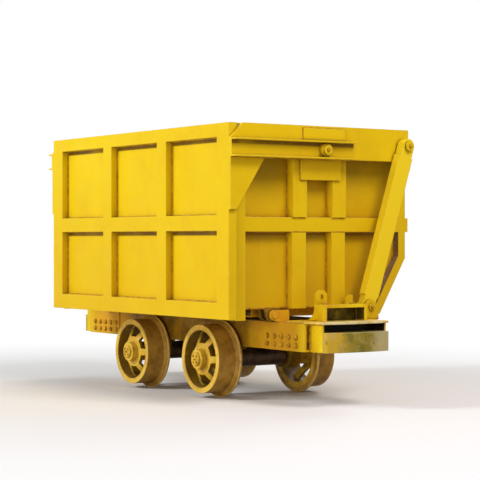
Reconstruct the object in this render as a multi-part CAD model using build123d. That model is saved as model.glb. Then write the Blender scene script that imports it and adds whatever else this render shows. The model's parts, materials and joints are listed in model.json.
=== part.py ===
"""Side dump mine car: a tub that tips 40 degrees sideways and opens its own side door.

Units are millimetres. +X points to the front end, -Y to the door side, +Z up.
The origin is on the floor under the wheel flanges, at mid length and mid width.
Each end of the door hangs on a lever that turns on the tub's end wall at PIVOT.
A link ties the lever's other end to the frame, so hinge, pivot and both link pins
make a parallelogram: as the tub tips out, the door stays upright and swings clear.
"""
from build123d import *
from math import atan2, cos, hypot, sin, sqrt
import os

# Wheels and axles
TREAD_RADIUS = 200.0
FLANGE_HEIGHT = 25.0
GAUGE = 600.0
FLANGE_PLAY = 4.0
FLANGE_WIDTH = 28.0
TREAD_WIDTH = 115.0
TREAD_TAPER = 3.0
RIM_THICKNESS = 34.0
SPOKES = 6
SPOKE_WIDTH = 40.0
SPOKE_THICKNESS = 22.0
SPOKE_ROUND = 10.0
RING_RADIUS = 92.0
RING_INSET = 12.0
HUB_RADIUS = 58.0
HUB_PROUD = 24.0
HUB_CAP_RADIUS = 38.0
HUB_CAP_HEIGHT = 12.0
AXLE_RADIUS = 55.0
JOURNAL_RADIUS = 40.0
AXLE_END_GAP = 3.0
WHEELBASE = 780.0

# Frame
SILL_BOTTOM_OVER_AXLE = 78.0
SILL_HEIGHT = 152.0
SILL_OUTER_Y = 250.0
SILL_FLANGE = 70.0
SILL_WEB = 9.0
SILL_FLANGE_THICKNESS = 12.0
FRAME_PAST_TUB = 210.0
CROSS_MEMBER_WIDTH = 60.0
CROSS_MEMBER_WALL = 10.0
CROSS_MEMBER_INSET = 500.0
SIDE_PLATE_THICKNESS = 8.0
SIDE_PLATE_LENGTH = 380.0
SIDE_PLATE_RAKE = 30.0
BOX_WIDTH = 80.0
BOX_LENGTH = 160.0
BOX_BELOW_AXLE = 72.0
BOX_FOOT_LENGTH = 240.0
BOX_FOOT_THICKNESS = 22.0

# Ends of the frame: deck plate, bumper housing, buffer pad, coupler pocket
DECK_THICKNESS = 12.0
DECK_GAP = 26.0
DECK_OVERHANG = 150.0
DECK_LIP = 8.0
DECK_TAPER = 40.0
DECK_CROWN = 24.0
HOUSING_WIDTH = 436.0
HOUSING_DEPTH = 112.0
HOUSING_WALL = 14.0
PAD_HEIGHT = 108.0
PAD_HEAD = 34.0
PAD_CORNER = 22.0
PAD_PLAY = 4.0
POCKET_PROUD = 35.0
POCKET_DEPTH = 84.0
POCKET_BACK = 12.0
POCKET_OPENING_WIDTH = 256.0
POCKET_OPENING_HEIGHT = 72.0
POCKET_ROOF = 18.0
POCKET_CHEEK = 22.0
POCKET_CHEEK_FOOT = 84.0
COUPLING_BORE_RADIUS = 20.0
COUPLING_BORE_INSET = 34.0
LUG_WIDTH = 76.0
LUG_THICKNESS = 22.0
LUG_HEIGHT = 168.0
LUG_HOLE_RADIUS = 14.0
LUG_GAP = 14.0

# Tub
TUB_LENGTH = 1960.0
BODY_WIDTH = 1250.0
FLOOR_OVER_SILL = 75.0
FLOOR_THICKNESS = 12.0
TUB_HEIGHT = 1014.0
SHEET = 8.0
RIB_DEPTH = 50.0
SLOPE_START_OVER_FLOOR = 275.0
SLOPE_FOOT_Y = 436.0
SLOPE_FOOT_BELOW_FLOOR = 45.0
TOP_RAIL = 78.0
MID_RAIL_OVER_FLOOR = 426.0
MID_RAIL = 80.0
MID_RAIL_PROUD = 20.0
END_RIB_Y = 137.0
END_RIB_WIDTH = 95.0
END_RIB_PROUD = 10.0
DOOR_POST_WIDTH = 70.0
DOOR_POST_DROP = 58.0
DOOR_POST_GAP = 7.0
SIDE_POST_WIDTH = 92.0
SIDE_RIB_WIDTH = 80.0
SIDE_BAYS = 4
HOLE_INSET = 252.0
HOLE_OVER_FLOOR = 757.0
HOLE_LENGTH = 130.0
HOLE_HEIGHT = 95.0
BEARER_PITCH = 390.0
BEARER_WIDTH = 60.0
BEARER_DEPTH = 50.0
BEARER_WALL = 8.0
BEARER_DOOR_Y = 340.0
BEARER_SLOPE_GAP = 12.0

# Tipping hinge, door pivot and link pins, as (Y, height) about their neighbours
HINGE_Y = -290.0
HINGE_DROP = 35.0
PIVOT_BELOW_TOP = 134.0
LEVER_REACH = 565.0
LEVER_RISE = 38.0
RUNNING_CLEARANCE = 0.05
MOVING_GAP = 8.0

# Tub hinges and rest pads
HINGE_PIN_RADIUS = 18.0
FRAME_EAR_RADIUS = 28.0
TUB_EAR_RADIUS = 34.0
EAR_THICKNESS = 16.0
EAR_GAP = 8.0
TUB_EAR_PITCH = 56.0
HINGE_INSET = 80.0
HINGE_PIN_PROUD = 8.0
TUB_EAR_FOOT = 96.0
FRAME_EAR_FOOT = 60.0
REST_PAD_LENGTH = 120.0
REST_PAD_WIDTH = 60.0

# Side door
DOOR_END_GAP = 28.0
DOOR_BELOW_FLOOR = 51.0
DOOR_THICKNESS = 50.0
DOOR_TOP_RAIL = 75.0
DOOR_MID_RAIL = 86.0
DOOR_MID_RAIL_OVER_FLOOR = 430.0
DOOR_BOTTOM_RAIL = 90.0
DOOR_END_POST = 118.0
DOOR_RIB = 100.0

# Door levers, their pivots and the links
LEVER_THICKNESS = 18.0
LEVER_END_PAST_PIN = 46.0
LEVER_CORNER = 80.0
CHANNEL_DEPTH = 50.0
CHANNEL_WALL = 9.0
CHANNEL_HEIGHT = 100.0
CHANNEL_PAST_PIVOT = 205.0
DOUBLER_WIDTH = 290.0
DOUBLER_THICKNESS = 8.0
DOUBLER_BELOW_TOP = 14.0
BOSS_RADIUS = 36.0
BOSS_PROUD = 34.0
PIVOT_PIN_RADIUS = 22.0
PIN_CAP_RADIUS = 27.0
PIN_CAP_THICKNESS = 10.0
GUSSET_WIDTH = 225.0
GUSSET_DEPTH = 285.0
GUSSET_TOE = 40.0
PIVOT_BOX_WIDTH = 280.0
PIVOT_BOX_HEIGHT = 230.0
PIVOT_BOX_OVER_PIVOT = 64.0
PIVOT_BOX_PROUD = 23.0
LINK_WIDTH = 100.0
LINK_DEPTH = 50.0
LINK_WALL = 9.0
EYE_RADIUS = 42.0
LINK_PIN_RADIUS = 20.0
LINK_START = 62.0
BRACKET_EAR = 16.0
BRACKET_EAR_WIDTH = 104.0
BRACKET_EAR_RADIUS = 40.0
BRACKET_BASE = 12.0
BRACKET_EAR_GAP = 6.0
BRACKET_HORN_REACH = 122.0
BRACKET_HORN_WIDTH = 50.0
BRACKET_HORN_RISE = 68.0

# Dump roller under the sloping side
ROLLER_RADIUS = 105.0
ROLLER_WIDTH = 58.0
ROLLER_OVER_FLOOR = 32.0
ROLLER_PIN_RADIUS = 28.0
ROLLER_SIDE_GAP = 6.0
ROLLER_CAP_RADIUS = 42.0
ROLLER_CAP_THICKNESS = 10.0
ROLLER_BRACKET_WIDTH = 150.0
ROLLER_BRACKET_PLATE = 14.0

# Levels and places worked out from the driving dimensions
RAIL_Z = FLANGE_HEIGHT
AXLE_Z = RAIL_Z + TREAD_RADIUS
SILL_BOTTOM = AXLE_Z + SILL_BOTTOM_OVER_AXLE
SILL_TOP = SILL_BOTTOM + SILL_HEIGHT
DECK_TOP = SILL_TOP + DECK_THICKNESS
FLOOR_Z = SILL_TOP + FLOOR_OVER_SILL
TUB_TOP = FLOOR_Z + TUB_HEIGHT
SLOPE_START = FLOOR_Z + SLOPE_START_OVER_FLOOR
SLOPE_FOOT = FLOOR_Z - SLOPE_FOOT_BELOW_FLOOR
MID_RAIL_Z = FLOOR_Z + MID_RAIL_OVER_FLOOR
SIDE_Y = BODY_WIDTH / 2
DOOR_INNER_Y = -SIDE_Y + DOOR_THICKNESS
TUB_END = TUB_LENGTH / 2
END_SHEET_X = TUB_END - RIB_DEPTH
DOOR_END = TUB_END + DOOR_END_GAP
FRAME_END = TUB_END + FRAME_PAST_TUB
DECK_START = TUB_END + DECK_GAP
DECK_FRONT = FRAME_END + DECK_OVERHANG
POCKET_FRONT = FRAME_END + POCKET_PROUD
SIDE_PLATE_START = FRAME_END - SIDE_PLATE_LENGTH
CROSS_MEMBER_X = FRAME_END - CROSS_MEMBER_INSET
HINGE_X = TUB_END - HINGE_INSET
HOLE_X = TUB_END - HOLE_INSET
SIDE_RIB_X = TUB_LENGTH / SIDE_BAYS
SIDE_SHEET_Y = SIDE_Y - RIB_DEPTH
TUB_DOOR_Y = DOOR_INNER_Y + DOOR_POST_GAP
HINGE = (HINGE_Y, FLOOR_Z - HINGE_DROP)
PIVOT = (0.0, TUB_TOP - PIVOT_BELOW_TOP)
LEVER_PIN = (PIVOT[0] + LEVER_REACH, PIVOT[1] + LEVER_RISE)
FRAME_PIN = (HINGE[0] + LEVER_REACH, HINGE[1] + LEVER_RISE)
LINK_LENGTH = hypot(LEVER_PIN[0] - FRAME_PIN[0], LEVER_PIN[1] - FRAME_PIN[1])
LEVER_X = DOOR_END
LEVER_FACE = LEVER_X + LEVER_THICKNESS
LINK_X = LEVER_FACE + MOVING_GAP
WHEEL_BACK_Y = GAUGE / 2 - FLANGE_PLAY - FLANGE_WIDTH
WHEEL_FACE_Y = WHEEL_BACK_Y + FLANGE_WIDTH + TREAD_WIDTH
BOX_OUTER_Y = SILL_OUTER_Y
BOX_INNER_Y = BOX_OUTER_Y - BOX_WIDTH
PARTS = "parts"


def block(x, y, z):
    """Box between a low and a high limit along each axis."""
    size = (x[1] - x[0], y[1] - y[0], z[1] - z[0])
    return Pos(sum(x) / 2, sum(y) / 2, sum(z) / 2) * Box(*size)


def plate_x(outline, x0, x1):
    """Plate across X; the outline is a list of (y, z) points."""
    face = make_face(Plane.YZ * Polyline(*outline, close=True))
    return Pos(x0, 0, 0) * extrude(face, x1 - x0, dir=(1, 0, 0))


def plate_y(outline, y0, y1):
    """Plate across Y; the outline is a list of (x, z) points."""
    points = [(x, y0, z) for x, z in outline]
    return extrude(make_face(Polyline(*points, close=True)), y1 - y0, dir=(0, 1, 0))


def rod_x(radius, x0, x1, centre):
    """Round bar along X about a (y, z) centre."""
    middle = Pos((x0 + x1) / 2, centre[0], centre[1])
    return middle * Rot(0, 90, 0) * Cylinder(radius, x1 - x0)


def rod_y(radius, y0, y1, x, z):
    """Round bar along Y about an (x, z) centre."""
    return Pos(x, (y0 + y1) / 2, z) * Rot(90, 0, 0) * Cylinder(radius, y1 - y0)


def rod_z(radius, z0, z1, x, y):
    """Round bar along Z about an (x, y) centre."""
    return Pos(x, y, (z0 + z1) / 2) * Cylinder(radius, z1 - z0)


def rounded_ear(centre, radius, foot_y, foot_z, x0, x1):
    """Plate across X that rises from a flat foot to a round end about a (y, z) centre."""
    low, high = foot_y
    outline = [(low, foot_z), (high, foot_z)]
    for corner, side in ((high, 1), (low, -1)):
        outline.append(tangent_point(centre, radius, (corner, foot_z), side))
    return plate_x(outline, x0, x1) + rod_x(radius, x0, x1, centre)


def tangent_point(centre, radius, corner, side):
    """Where a line from a corner touches the circle on its +Y (1) or -Y (-1) side."""
    dy, dz = corner[0] - centre[0], corner[1] - centre[1]
    distance = hypot(dy, dz)
    angle = atan2(dz, dy) + side * atan2(sqrt(distance**2 - radius**2), radius)
    return (centre[0] + radius * cos(angle), centre[1] + radius * sin(angle))


def slope_y(z, inset=0.0):
    """Y of the sloping side's outer face at a height, moved inwards by an inset."""
    run = SIDE_Y - SLOPE_FOOT_Y
    rise = SLOPE_START - SLOPE_FOOT
    return SIDE_Y - (SLOPE_START - z) * run / rise - inset * hypot(run, rise) / rise


def kink_z(inset):
    """Height where the vertical side, moved in by an inset, meets the slope."""
    run = SIDE_Y - SLOPE_FOOT_Y
    rise = SLOPE_START - SLOPE_FOOT
    return SLOPE_START + inset * (hypot(run, rise) - rise) / run


def side_section(inset_out, inset_in, low, high):
    """Outline of a band of the bent side between two insets, as (y, z) points."""
    bands = []
    for inset in (inset_out, inset_in):
        bands.append([
            (slope_y(low, inset), low),
            (SIDE_Y - inset, kink_z(inset)),
            (SIDE_Y - inset, high),
        ])
    return bands[0] + bands[1][::-1]


def door_side_trim(x0, x1):
    """What the door sweeps as it turns about the pivot: all beyond this arc is cut away."""
    reach = -(TUB_DOOR_Y - PIVOT[0])
    sector = block((x0, x1), (-SIDE_Y, PIVOT[0] - reach / 2), (PIVOT[1], TUB_TOP + 1))
    return sector - rod_x(reach, x0, x1, PIVOT)


def end_wall():
    """End wall sheet with its door post, mid rail, top rail and two ribs, proud above the mid rail."""
    sheet_x = (END_SHEET_X - SHEET, END_SHEET_X)
    rib_x = (END_SHEET_X, TUB_END)
    low_y = slope_y(FLOOR_Z, RIB_DEPTH)
    sheet = [
        (TUB_DOOR_Y, FLOOR_Z), (low_y, FLOOR_Z),
        (SIDE_SHEET_Y, kink_z(RIB_DEPTH)), (SIDE_SHEET_Y, TUB_TOP), (TUB_DOOR_Y, TUB_TOP),
    ]
    wall = plate_x(sheet, *sheet_x)
    post_y = (TUB_DOOR_Y, TUB_DOOR_Y + DOOR_POST_WIDTH)
    wall += block((sheet_x[0], TUB_END), post_y, (FLOOR_Z - DOOR_POST_DROP, TUB_TOP))
    rib_face = TUB_END + END_RIB_PROUD
    for y in (-END_RIB_Y, END_RIB_Y):
        rib_y = (y - END_RIB_WIDTH / 2, y + END_RIB_WIDTH / 2)
        wall += block(rib_x, rib_y, (FLOOR_Z, TUB_TOP))
        wall += block((END_SHEET_X, rib_face), rib_y, (MID_RAIL_Z + MID_RAIL, TUB_TOP - TOP_RAIL))
    rail_y = (post_y[0], SIDE_SHEET_Y)
    wall += block(rib_x, rail_y, (TUB_TOP - TOP_RAIL, TUB_TOP))
    wall += block(rib_x, rail_y, (MID_RAIL_Z, MID_RAIL_Z + MID_RAIL))
    wall -= block((END_SHEET_X, rib_face + 1), *pivot_box_limits())
    return wall - door_side_trim(sheet_x[0] - 1, TUB_END + 1)


def pivot_box_limits():
    """Y and Z limits of the housing that carries the door pivot."""
    half = PIVOT_BOX_WIDTH / 2
    top = PIVOT[1] + PIVOT_BOX_OVER_PIVOT
    return (PIVOT[0] - half, PIVOT[0] + half), (top - PIVOT_BOX_HEIGHT, top)


def pivot_box():
    """Housing on the end wall with the stub pin that the door lever turns on."""
    face = TUB_END + PIVOT_BOX_PROUD
    box = block((END_SHEET_X, face), *pivot_box_limits())
    pin_end = LEVER_FACE + BOSS_PROUD + 1
    box += rod_x(PIVOT_PIN_RADIUS, face, pin_end, PIVOT)
    return box + rod_x(PIN_CAP_RADIUS, pin_end, pin_end + PIN_CAP_THICKNESS, PIVOT)


def side_wall():
    """Bent side sheet with outer posts and ribs, mid rail, top rail and two holes."""
    inner = RIB_DEPTH + SHEET
    wall = plate_x(side_section(RIB_DEPTH, inner, FLOOR_Z, TUB_TOP), -END_SHEET_X + SHEET,
                   END_SHEET_X - SHEET)
    columns = [
        # centre x, width
        (-SIDE_RIB_X, SIDE_RIB_WIDTH),
        (SIDE_RIB_X, SIDE_RIB_WIDTH),
    ]
    for x, width in columns:
        wall += plate_x(side_section(0, RIB_DEPTH, FLOOR_Z, TUB_TOP), x - width / 2, x + width / 2)
    for x0, x1 in ((-TUB_END, -TUB_END + SIDE_POST_WIDTH), (TUB_END - SIDE_POST_WIDTH, TUB_END)):
        wall += plate_x(side_section(0, RIB_DEPTH, SLOPE_FOOT, TUB_TOP), x0, x1)
    rail_x = (-TUB_END, TUB_END)
    wall += block(rail_x, (SIDE_SHEET_Y, SIDE_Y), (TUB_TOP - TOP_RAIL, TUB_TOP))
    wall += block(rail_x, (SIDE_SHEET_Y, SIDE_Y + MID_RAIL_PROUD), (MID_RAIL_Z, MID_RAIL_Z + MID_RAIL))
    for x in (-HOLE_X, HOLE_X):
        z = FLOOR_Z + HOLE_OVER_FLOOR
        wall -= block((x - HOLE_LENGTH / 2, x + HOLE_LENGTH / 2), (SIDE_SHEET_Y - inner, SIDE_Y),
                      (z - HOLE_HEIGHT / 2, z + HOLE_HEIGHT / 2))
    return wall


def tub_floor():
    """Floor plate between the end walls, from the door sill to the sloping side."""
    ends = END_SHEET_X - SHEET
    top = FLOOR_Z + FLOOR_THICKNESS
    outline = [
        (TUB_DOOR_Y, FLOOR_Z), (slope_y(FLOOR_Z, RIB_DEPTH + SHEET), FLOOR_Z),
        (slope_y(top, RIB_DEPTH + SHEET), top), (TUB_DOOR_Y, top),
    ]
    return plate_x(outline, -ends, ends)


def floor_bearers():
    """Channel bars across under the floor, clear of the hinges and rest pads at its ends."""
    y = (-BEARER_DOOR_Y, slope_y(FLOOR_Z, RIB_DEPTH + SHEET) - BEARER_SLOPE_GAP)
    z = (FLOOR_Z - BEARER_DEPTH, FLOOR_Z)
    pairs = int((HINGE_X - REST_PAD_LENGTH) / BEARER_PITCH)
    places = [index * BEARER_PITCH for index in range(-pairs, pairs + 1)]
    return Compound(children=[channel_across(x, BEARER_WIDTH, y, z, BEARER_WALL) for x in places])


def channel_across(x, width, y, z, wall):
    """Channel bar along Y about an x, open towards the nearer end of the car's middle."""
    side = 1 if x < 0 else -1
    half = width / 2
    cut = sorted((x + side * half, x - side * (half - wall)))
    bar = block((x - half, x + half), y, z)
    return bar - block(cut, (y[0] - 1, y[1] + 1), (z[0] + wall, z[1] - wall))


def tub_ears():
    """Two ears under the floor that turn on the hinge pin."""
    ears = []
    half_foot = TUB_EAR_FOOT / 2
    foot = (HINGE[0] - half_foot, HINGE[0] + half_foot)
    for x in (HINGE_X - TUB_EAR_PITCH / 2, HINGE_X + TUB_EAR_PITCH / 2):
        x0, x1 = x - EAR_THICKNESS / 2, x + EAR_THICKNESS / 2
        ear = hanging_ear(HINGE, TUB_EAR_RADIUS, foot, FLOOR_Z, x0, x1)
        bore = rod_x(HINGE_PIN_RADIUS + RUNNING_CLEARANCE, x0 - 1, x1 + 1, HINGE)
        ears.append(ear - bore)
    return Compound(children=ears)


def hanging_ear(centre, radius, foot_y, foot_z, x0, x1):
    """Plate across X that hangs from a flat top edge to a round end."""
    low, high = foot_y
    outline = [(high, foot_z), (low, foot_z)]
    for corner, side in ((low, 1), (high, -1)):
        outline.append(tangent_point(centre, radius, (corner, foot_z), side))
    return plate_x(outline, x0, x1) + rod_x(radius, x0, x1, centre)


def hinge_bracket():
    """Two flat-topped frame ears on the sill outside the tub's ears, with the hinge pin in them."""
    low, high = -SILL_OUTER_Y, -SILL_OUTER_Y + FRAME_EAR_FOOT
    top = HINGE[1] + FRAME_EAR_RADIUS
    outline = [
        (low, SILL_TOP), (high, SILL_TOP), (high, top), (HINGE[0], top),
        tangent_point(HINGE, FRAME_EAR_RADIUS, (low, SILL_TOP), -1),
    ]
    inner = TUB_EAR_PITCH / 2 + EAR_THICKNESS / 2 + EAR_GAP
    bracket = rod_x(HINGE_PIN_RADIUS, HINGE_X - inner - EAR_THICKNESS - HINGE_PIN_PROUD,
                    HINGE_X + inner + EAR_THICKNESS + HINGE_PIN_PROUD, HINGE)
    for x0 in (HINGE_X - inner - EAR_THICKNESS, HINGE_X + inner):
        bracket += plate_x(outline, x0, x0 + EAR_THICKNESS)
        bracket += rod_x(FRAME_EAR_RADIUS, x0, x0 + EAR_THICKNESS, HINGE)
    return bracket


def rest_pad():
    """Stool on the far sill that the tub floor rests on."""
    half = REST_PAD_LENGTH / 2
    y1 = SILL_OUTER_Y
    stool = block((HINGE_X - half, HINGE_X + half), (y1 - REST_PAD_WIDTH, y1), (SILL_TOP, FLOOR_Z))
    for side in (-1, 1):
        x0 = HINGE_X + side * half
        limits = sorted((x0, x0 - side * (half - CROSS_MEMBER_WALL)))
        recess = block(limits, (y1 - REST_PAD_WIDTH + CROSS_MEMBER_WALL, y1 + 1),
                       (SILL_TOP + CROSS_MEMBER_WALL, FLOOR_Z - CROSS_MEMBER_WALL))
        stool -= recess
    return stool


def roller_pin_centre():
    """(y, z) of the dump roller's outer face and centre height."""
    return SIDE_Y - ROLLER_CAP_THICKNESS - ROLLER_SIDE_GAP, FLOOR_Z + ROLLER_OVER_FLOOR


def dump_roller():
    """Steel roller that climbs the tipping ramp, free on its stub pin."""
    outer, z = roller_pin_centre()
    profile = rod_y(ROLLER_RADIUS, outer - ROLLER_WIDTH, outer, 0, z)
    rim_edges = profile.edges().filter_by(GeomType.CIRCLE)
    profile = chamfer(rim_edges, ROLLER_SIDE_GAP)
    return profile - rod_y(ROLLER_PIN_RADIUS + RUNNING_CLEARANCE, outer - ROLLER_WIDTH - 1,
                           outer + 1, 0, z)


def roller_bracket():
    """Two plates and a boss under the slope that hold the roller's stub pin."""
    outer, z = roller_pin_centre()
    boss_y = outer - ROLLER_WIDTH - ROLLER_SIDE_GAP
    half = ROLLER_BRACKET_WIDTH / 2
    top = z + ROLLER_RADIUS
    outline = [
        (slope_y(FLOOR_Z, RIB_DEPTH), FLOOR_Z), (slope_y(top, RIB_DEPTH), top),
        (boss_y, top), (boss_y, FLOOR_Z - HINGE_DROP), (SLOPE_FOOT_Y - RIB_DEPTH, FLOOR_Z - HINGE_DROP),
        (SLOPE_FOOT_Y - 2 * RIB_DEPTH, FLOOR_Z),
    ]
    bracket = rod_y(ROLLER_PIN_RADIUS, boss_y, SIDE_Y, 0, z)
    bracket += rod_y(ROLLER_CAP_RADIUS, SIDE_Y - ROLLER_CAP_THICKNESS, SIDE_Y, 0, z)
    for x0 in (-half, half - ROLLER_BRACKET_PLATE):
        bracket += plate_x(outline, x0, x0 + ROLLER_BRACKET_PLATE)
    front = block((-half, half), (boss_y - ROLLER_BRACKET_PLATE, boss_y), (FLOOR_Z - HINGE_DROP, top))
    return bracket + front


def door_panel():
    """Flat door: a thin sheet behind a frame of rails and ribs that leaves six recesses."""
    bottom = FLOOR_Z - DOOR_BELOW_FLOOR
    length_x = (-DOOR_END, DOOR_END)
    whole_y = (-SIDE_Y, DOOR_INNER_Y)
    door = block(length_x, whole_y, (bottom, TUB_TOP))
    mid = FLOOR_Z + DOOR_MID_RAIL_OVER_FLOOR
    rows = [
        # low z, high z of a row of recesses
        (bottom + DOOR_BOTTOM_RAIL, mid),
        (mid + DOOR_MID_RAIL, TUB_TOP - DOOR_TOP_RAIL),
    ]
    columns = 3
    clear = 2 * DOOR_END - 2 * DOOR_END_POST - (columns - 1) * DOOR_RIB
    for low, high in rows:
        for column in range(columns):
            x0 = -DOOR_END + DOOR_END_POST + column * (clear / columns + DOOR_RIB)
            door -= block((x0, x0 + clear / columns), (-SIDE_Y - 1, DOOR_INNER_Y - SHEET), (low, high))
    return door


def door_lever():
    """Lever on the door's end: plate, outward channel, boss with bore, doubler and gusset."""
    low = PIVOT[1] - CHANNEL_HEIGHT / 2
    end_y = LEVER_PIN[0] + LEVER_END_PAST_PIN
    outline = Plane.YZ * Polyline((-SIDE_Y, low), (end_y, low), (end_y, TUB_TOP),
                                  (-SIDE_Y, TUB_TOP), close=True)
    plate = Pos(LEVER_X, 0, 0) * extrude(make_face(outline), LEVER_THICKNESS, dir=(1, 0, 0))
    corner = plate.edges().filter_by(Axis.X).group_by(Axis.Z)[-1].group_by(Axis.Y)[0]
    lever = chamfer(corner, LEVER_CORNER)
    channel_x = (LEVER_FACE, LEVER_FACE + CHANNEL_DEPTH)
    channel_y = (-SIDE_Y, PIVOT[0] + CHANNEL_PAST_PIVOT)
    channel = block(channel_x, channel_y, (low, low + CHANNEL_HEIGHT))
    channel -= block((channel_x[0] + CHANNEL_WALL, channel_x[1] + 1), (channel_y[0] - 1, channel_y[1] + 1),
                     (low + CHANNEL_WALL, low + CHANNEL_HEIGHT - CHANNEL_WALL))
    lever += channel
    half = DOUBLER_WIDTH / 2
    lever += block((LEVER_FACE, LEVER_FACE + DOUBLER_THICKNESS), (-half, half),
                   (low + CHANNEL_HEIGHT, TUB_TOP - DOUBLER_BELOW_TOP))
    lever += rod_x(BOSS_RADIUS, LEVER_FACE, LEVER_FACE + BOSS_PROUD, PIVOT)
    gusset = [
        (-SIDE_Y, low), (-SIDE_Y, low - GUSSET_DEPTH), (-SIDE_Y + GUSSET_TOE, low - GUSSET_DEPTH),
        (-SIDE_Y + GUSSET_WIDTH, low),
    ]
    lever += plate_x(gusset, LEVER_X, LEVER_FACE)
    lever -= rod_x(PIVOT_PIN_RADIUS + RUNNING_CLEARANCE, LEVER_X - 1, LEVER_FACE + BOSS_PROUD + 1, PIVOT)
    pin_end = LINK_X + LINK_DEPTH + MOVING_GAP
    lever += rod_x(LINK_PIN_RADIUS, LEVER_FACE, pin_end, LEVER_PIN)
    return lever + rod_x(PIN_CAP_RADIUS, pin_end, pin_end + PIN_CAP_THICKNESS, LEVER_PIN)


def link():
    """Channel bar between the frame pin and the lever pin, with a round eye at each end."""
    along = (0, LEVER_PIN[0] - FRAME_PIN[0], LEVER_PIN[1] - FRAME_PIN[1])
    place = Plane(origin=(LINK_X, *FRAME_PIN), x_dir=along, z_dir=(1, 0, 0))
    bar = Pos(LINK_LENGTH / 2, 0, LINK_DEPTH / 2) * Box(LINK_LENGTH - 2 * LINK_START, LINK_WIDTH, LINK_DEPTH)
    hollow = Pos(LINK_LENGTH / 2, 0, (LINK_DEPTH - LINK_WALL) / 2) * Box(
        LINK_LENGTH - 2 * LINK_START - 2 * LINK_WALL, LINK_WIDTH - 2 * LINK_WALL, LINK_DEPTH - LINK_WALL)
    body = bar - hollow
    for x, side in ((0, 1), (LINK_LENGTH, -1)):
        middle = Pos(x + side * LINK_START / 2, 0, LINK_DEPTH / 2)
        tongue = middle * Box(LINK_START, 2 * EYE_RADIUS, LINK_DEPTH)
        eye = Pos(x, 0, LINK_DEPTH / 2) * Cylinder(EYE_RADIUS, LINK_DEPTH)
        body += tongue + eye
    for x in (0, LINK_LENGTH):
        body -= Pos(x, 0, LINK_DEPTH / 2) * Cylinder(LINK_PIN_RADIUS + RUNNING_CLEARANCE, LINK_DEPTH + 2)
    return place * body


def link_bracket():
    """Two ears on the deck that hold the link's lower pin, the inner one with a horn beside it."""
    y, z = FRAME_PIN
    outer = LINK_X + LINK_DEPTH + BRACKET_EAR_GAP
    inner = LINK_X - BRACKET_EAR_GAP
    half = BRACKET_EAR_WIDTH / 2
    base_top = DECK_TOP + BRACKET_BASE
    base_x = (inner - BRACKET_EAR, outer + BRACKET_EAR)
    bracket = block(base_x, (y - half, y + half), (DECK_TOP, base_top))
    horn_y = (y - BRACKET_HORN_REACH, y - BRACKET_HORN_REACH + BRACKET_HORN_WIDTH)
    horn_top = z + BRACKET_HORN_RISE
    horn = [
        (horn_y[0], DECK_TOP), (y - half, DECK_TOP), (y - half, base_top), (horn_y[1], z),
        (horn_y[1], horn_top), (sum(horn_y) / 2, horn_top), (horn_y[0], horn_top - BRACKET_HORN_WIDTH / 2),
    ]
    bracket += plate_x(horn, inner - BRACKET_EAR, inner)
    for x0 in (inner - BRACKET_EAR, outer):
        bracket += rounded_ear((y, z), BRACKET_EAR_RADIUS, (y - half, y + half), base_top, x0,
                               x0 + BRACKET_EAR)
    pin_x = (base_x[0], base_x[1] + PIN_CAP_THICKNESS)
    return bracket + rod_x(LINK_PIN_RADIUS, *pin_x, (y, z))


def sill(side):
    """Channel sill with the bolted side plate at each end; side is -1 for the door side."""
    web = (SILL_OUTER_Y - SILL_WEB, SILL_OUTER_Y)
    flange = (SILL_OUTER_Y - SILL_FLANGE, SILL_OUTER_Y)
    ends = (-FRAME_END, FRAME_END)
    body = block(ends, web, (SILL_BOTTOM, SILL_TOP))
    body += block(ends, flange, (SILL_BOTTOM, SILL_BOTTOM + SILL_FLANGE_THICKNESS))
    body += block(ends, flange, (SILL_TOP - SILL_FLANGE_THICKNESS, SILL_TOP))
    outline = [
        (SIDE_PLATE_START, SILL_TOP), (SIDE_PLATE_START, SILL_BOTTOM + SIDE_PLATE_RAKE),
        (SIDE_PLATE_START + SIDE_PLATE_RAKE, SILL_BOTTOM), (FRAME_END, SILL_BOTTOM), (FRAME_END, SILL_TOP),
    ]
    plate = plate_y(outline, SILL_OUTER_Y, SILL_OUTER_Y + SIDE_PLATE_THICKNESS)
    body += plate + mirror(plate, Plane.YZ)
    return body if side > 0 else mirror(body, Plane.XZ)


def cross_member(x):
    """Channel across the frame between the sill webs, at a given x."""
    reach = SILL_OUTER_Y - SILL_WEB
    z = (SILL_BOTTOM + SILL_FLANGE_THICKNESS, SILL_TOP - SILL_FLANGE_THICKNESS)
    return channel_across(x, CROSS_MEMBER_WIDTH, (-reach, reach), z, CROSS_MEMBER_WALL)


def axle_box(x, side):
    """Bearing housing bolted under a sill, open along Y for the axle journal."""
    inner, outer = sorted((side * BOX_INNER_Y, side * BOX_OUTER_Y))
    half = BOX_LENGTH / 2
    body = block((x - half, x + half), (inner, outer), (AXLE_Z, SILL_BOTTOM))
    lower_half = block((x - half, x + half), (inner, outer), (AXLE_Z - BOX_BELOW_AXLE, AXLE_Z))
    body += rod_y(half, inner, outer, x, AXLE_Z) & lower_half
    foot = BOX_FOOT_LENGTH / 2
    body += block((x - foot, x + foot), (inner, outer), (SILL_BOTTOM - BOX_FOOT_THICKNESS, SILL_BOTTOM))
    return body - rod_y(JOURNAL_RADIUS + RUNNING_CLEARANCE, inner - 1, outer + 1, x, AXLE_Z)


def deck():
    """End deck plate on the sills, drawn in and crowned at its front edge over the buffer pad."""
    half = SILL_OUTER_Y
    front_half = HOUSING_WIDTH / 2 + DECK_LIP
    side = DECK_FRONT - DECK_CROWN
    edge = ThreePointArc((side, -front_half), (DECK_FRONT, 0), (side, front_half))
    outline = edge + Polyline(
        (side, front_half), (FRAME_END + DECK_TAPER, front_half), (FRAME_END, half), (DECK_START, half),
        (DECK_START, -half), (FRAME_END, -half), (FRAME_END + DECK_TAPER, -front_half), (side, -front_half))
    plate = Pos(0, 0, SILL_TOP) * extrude(make_face(outline), DECK_THICKNESS)
    return plate - coupling_bore()


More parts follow.
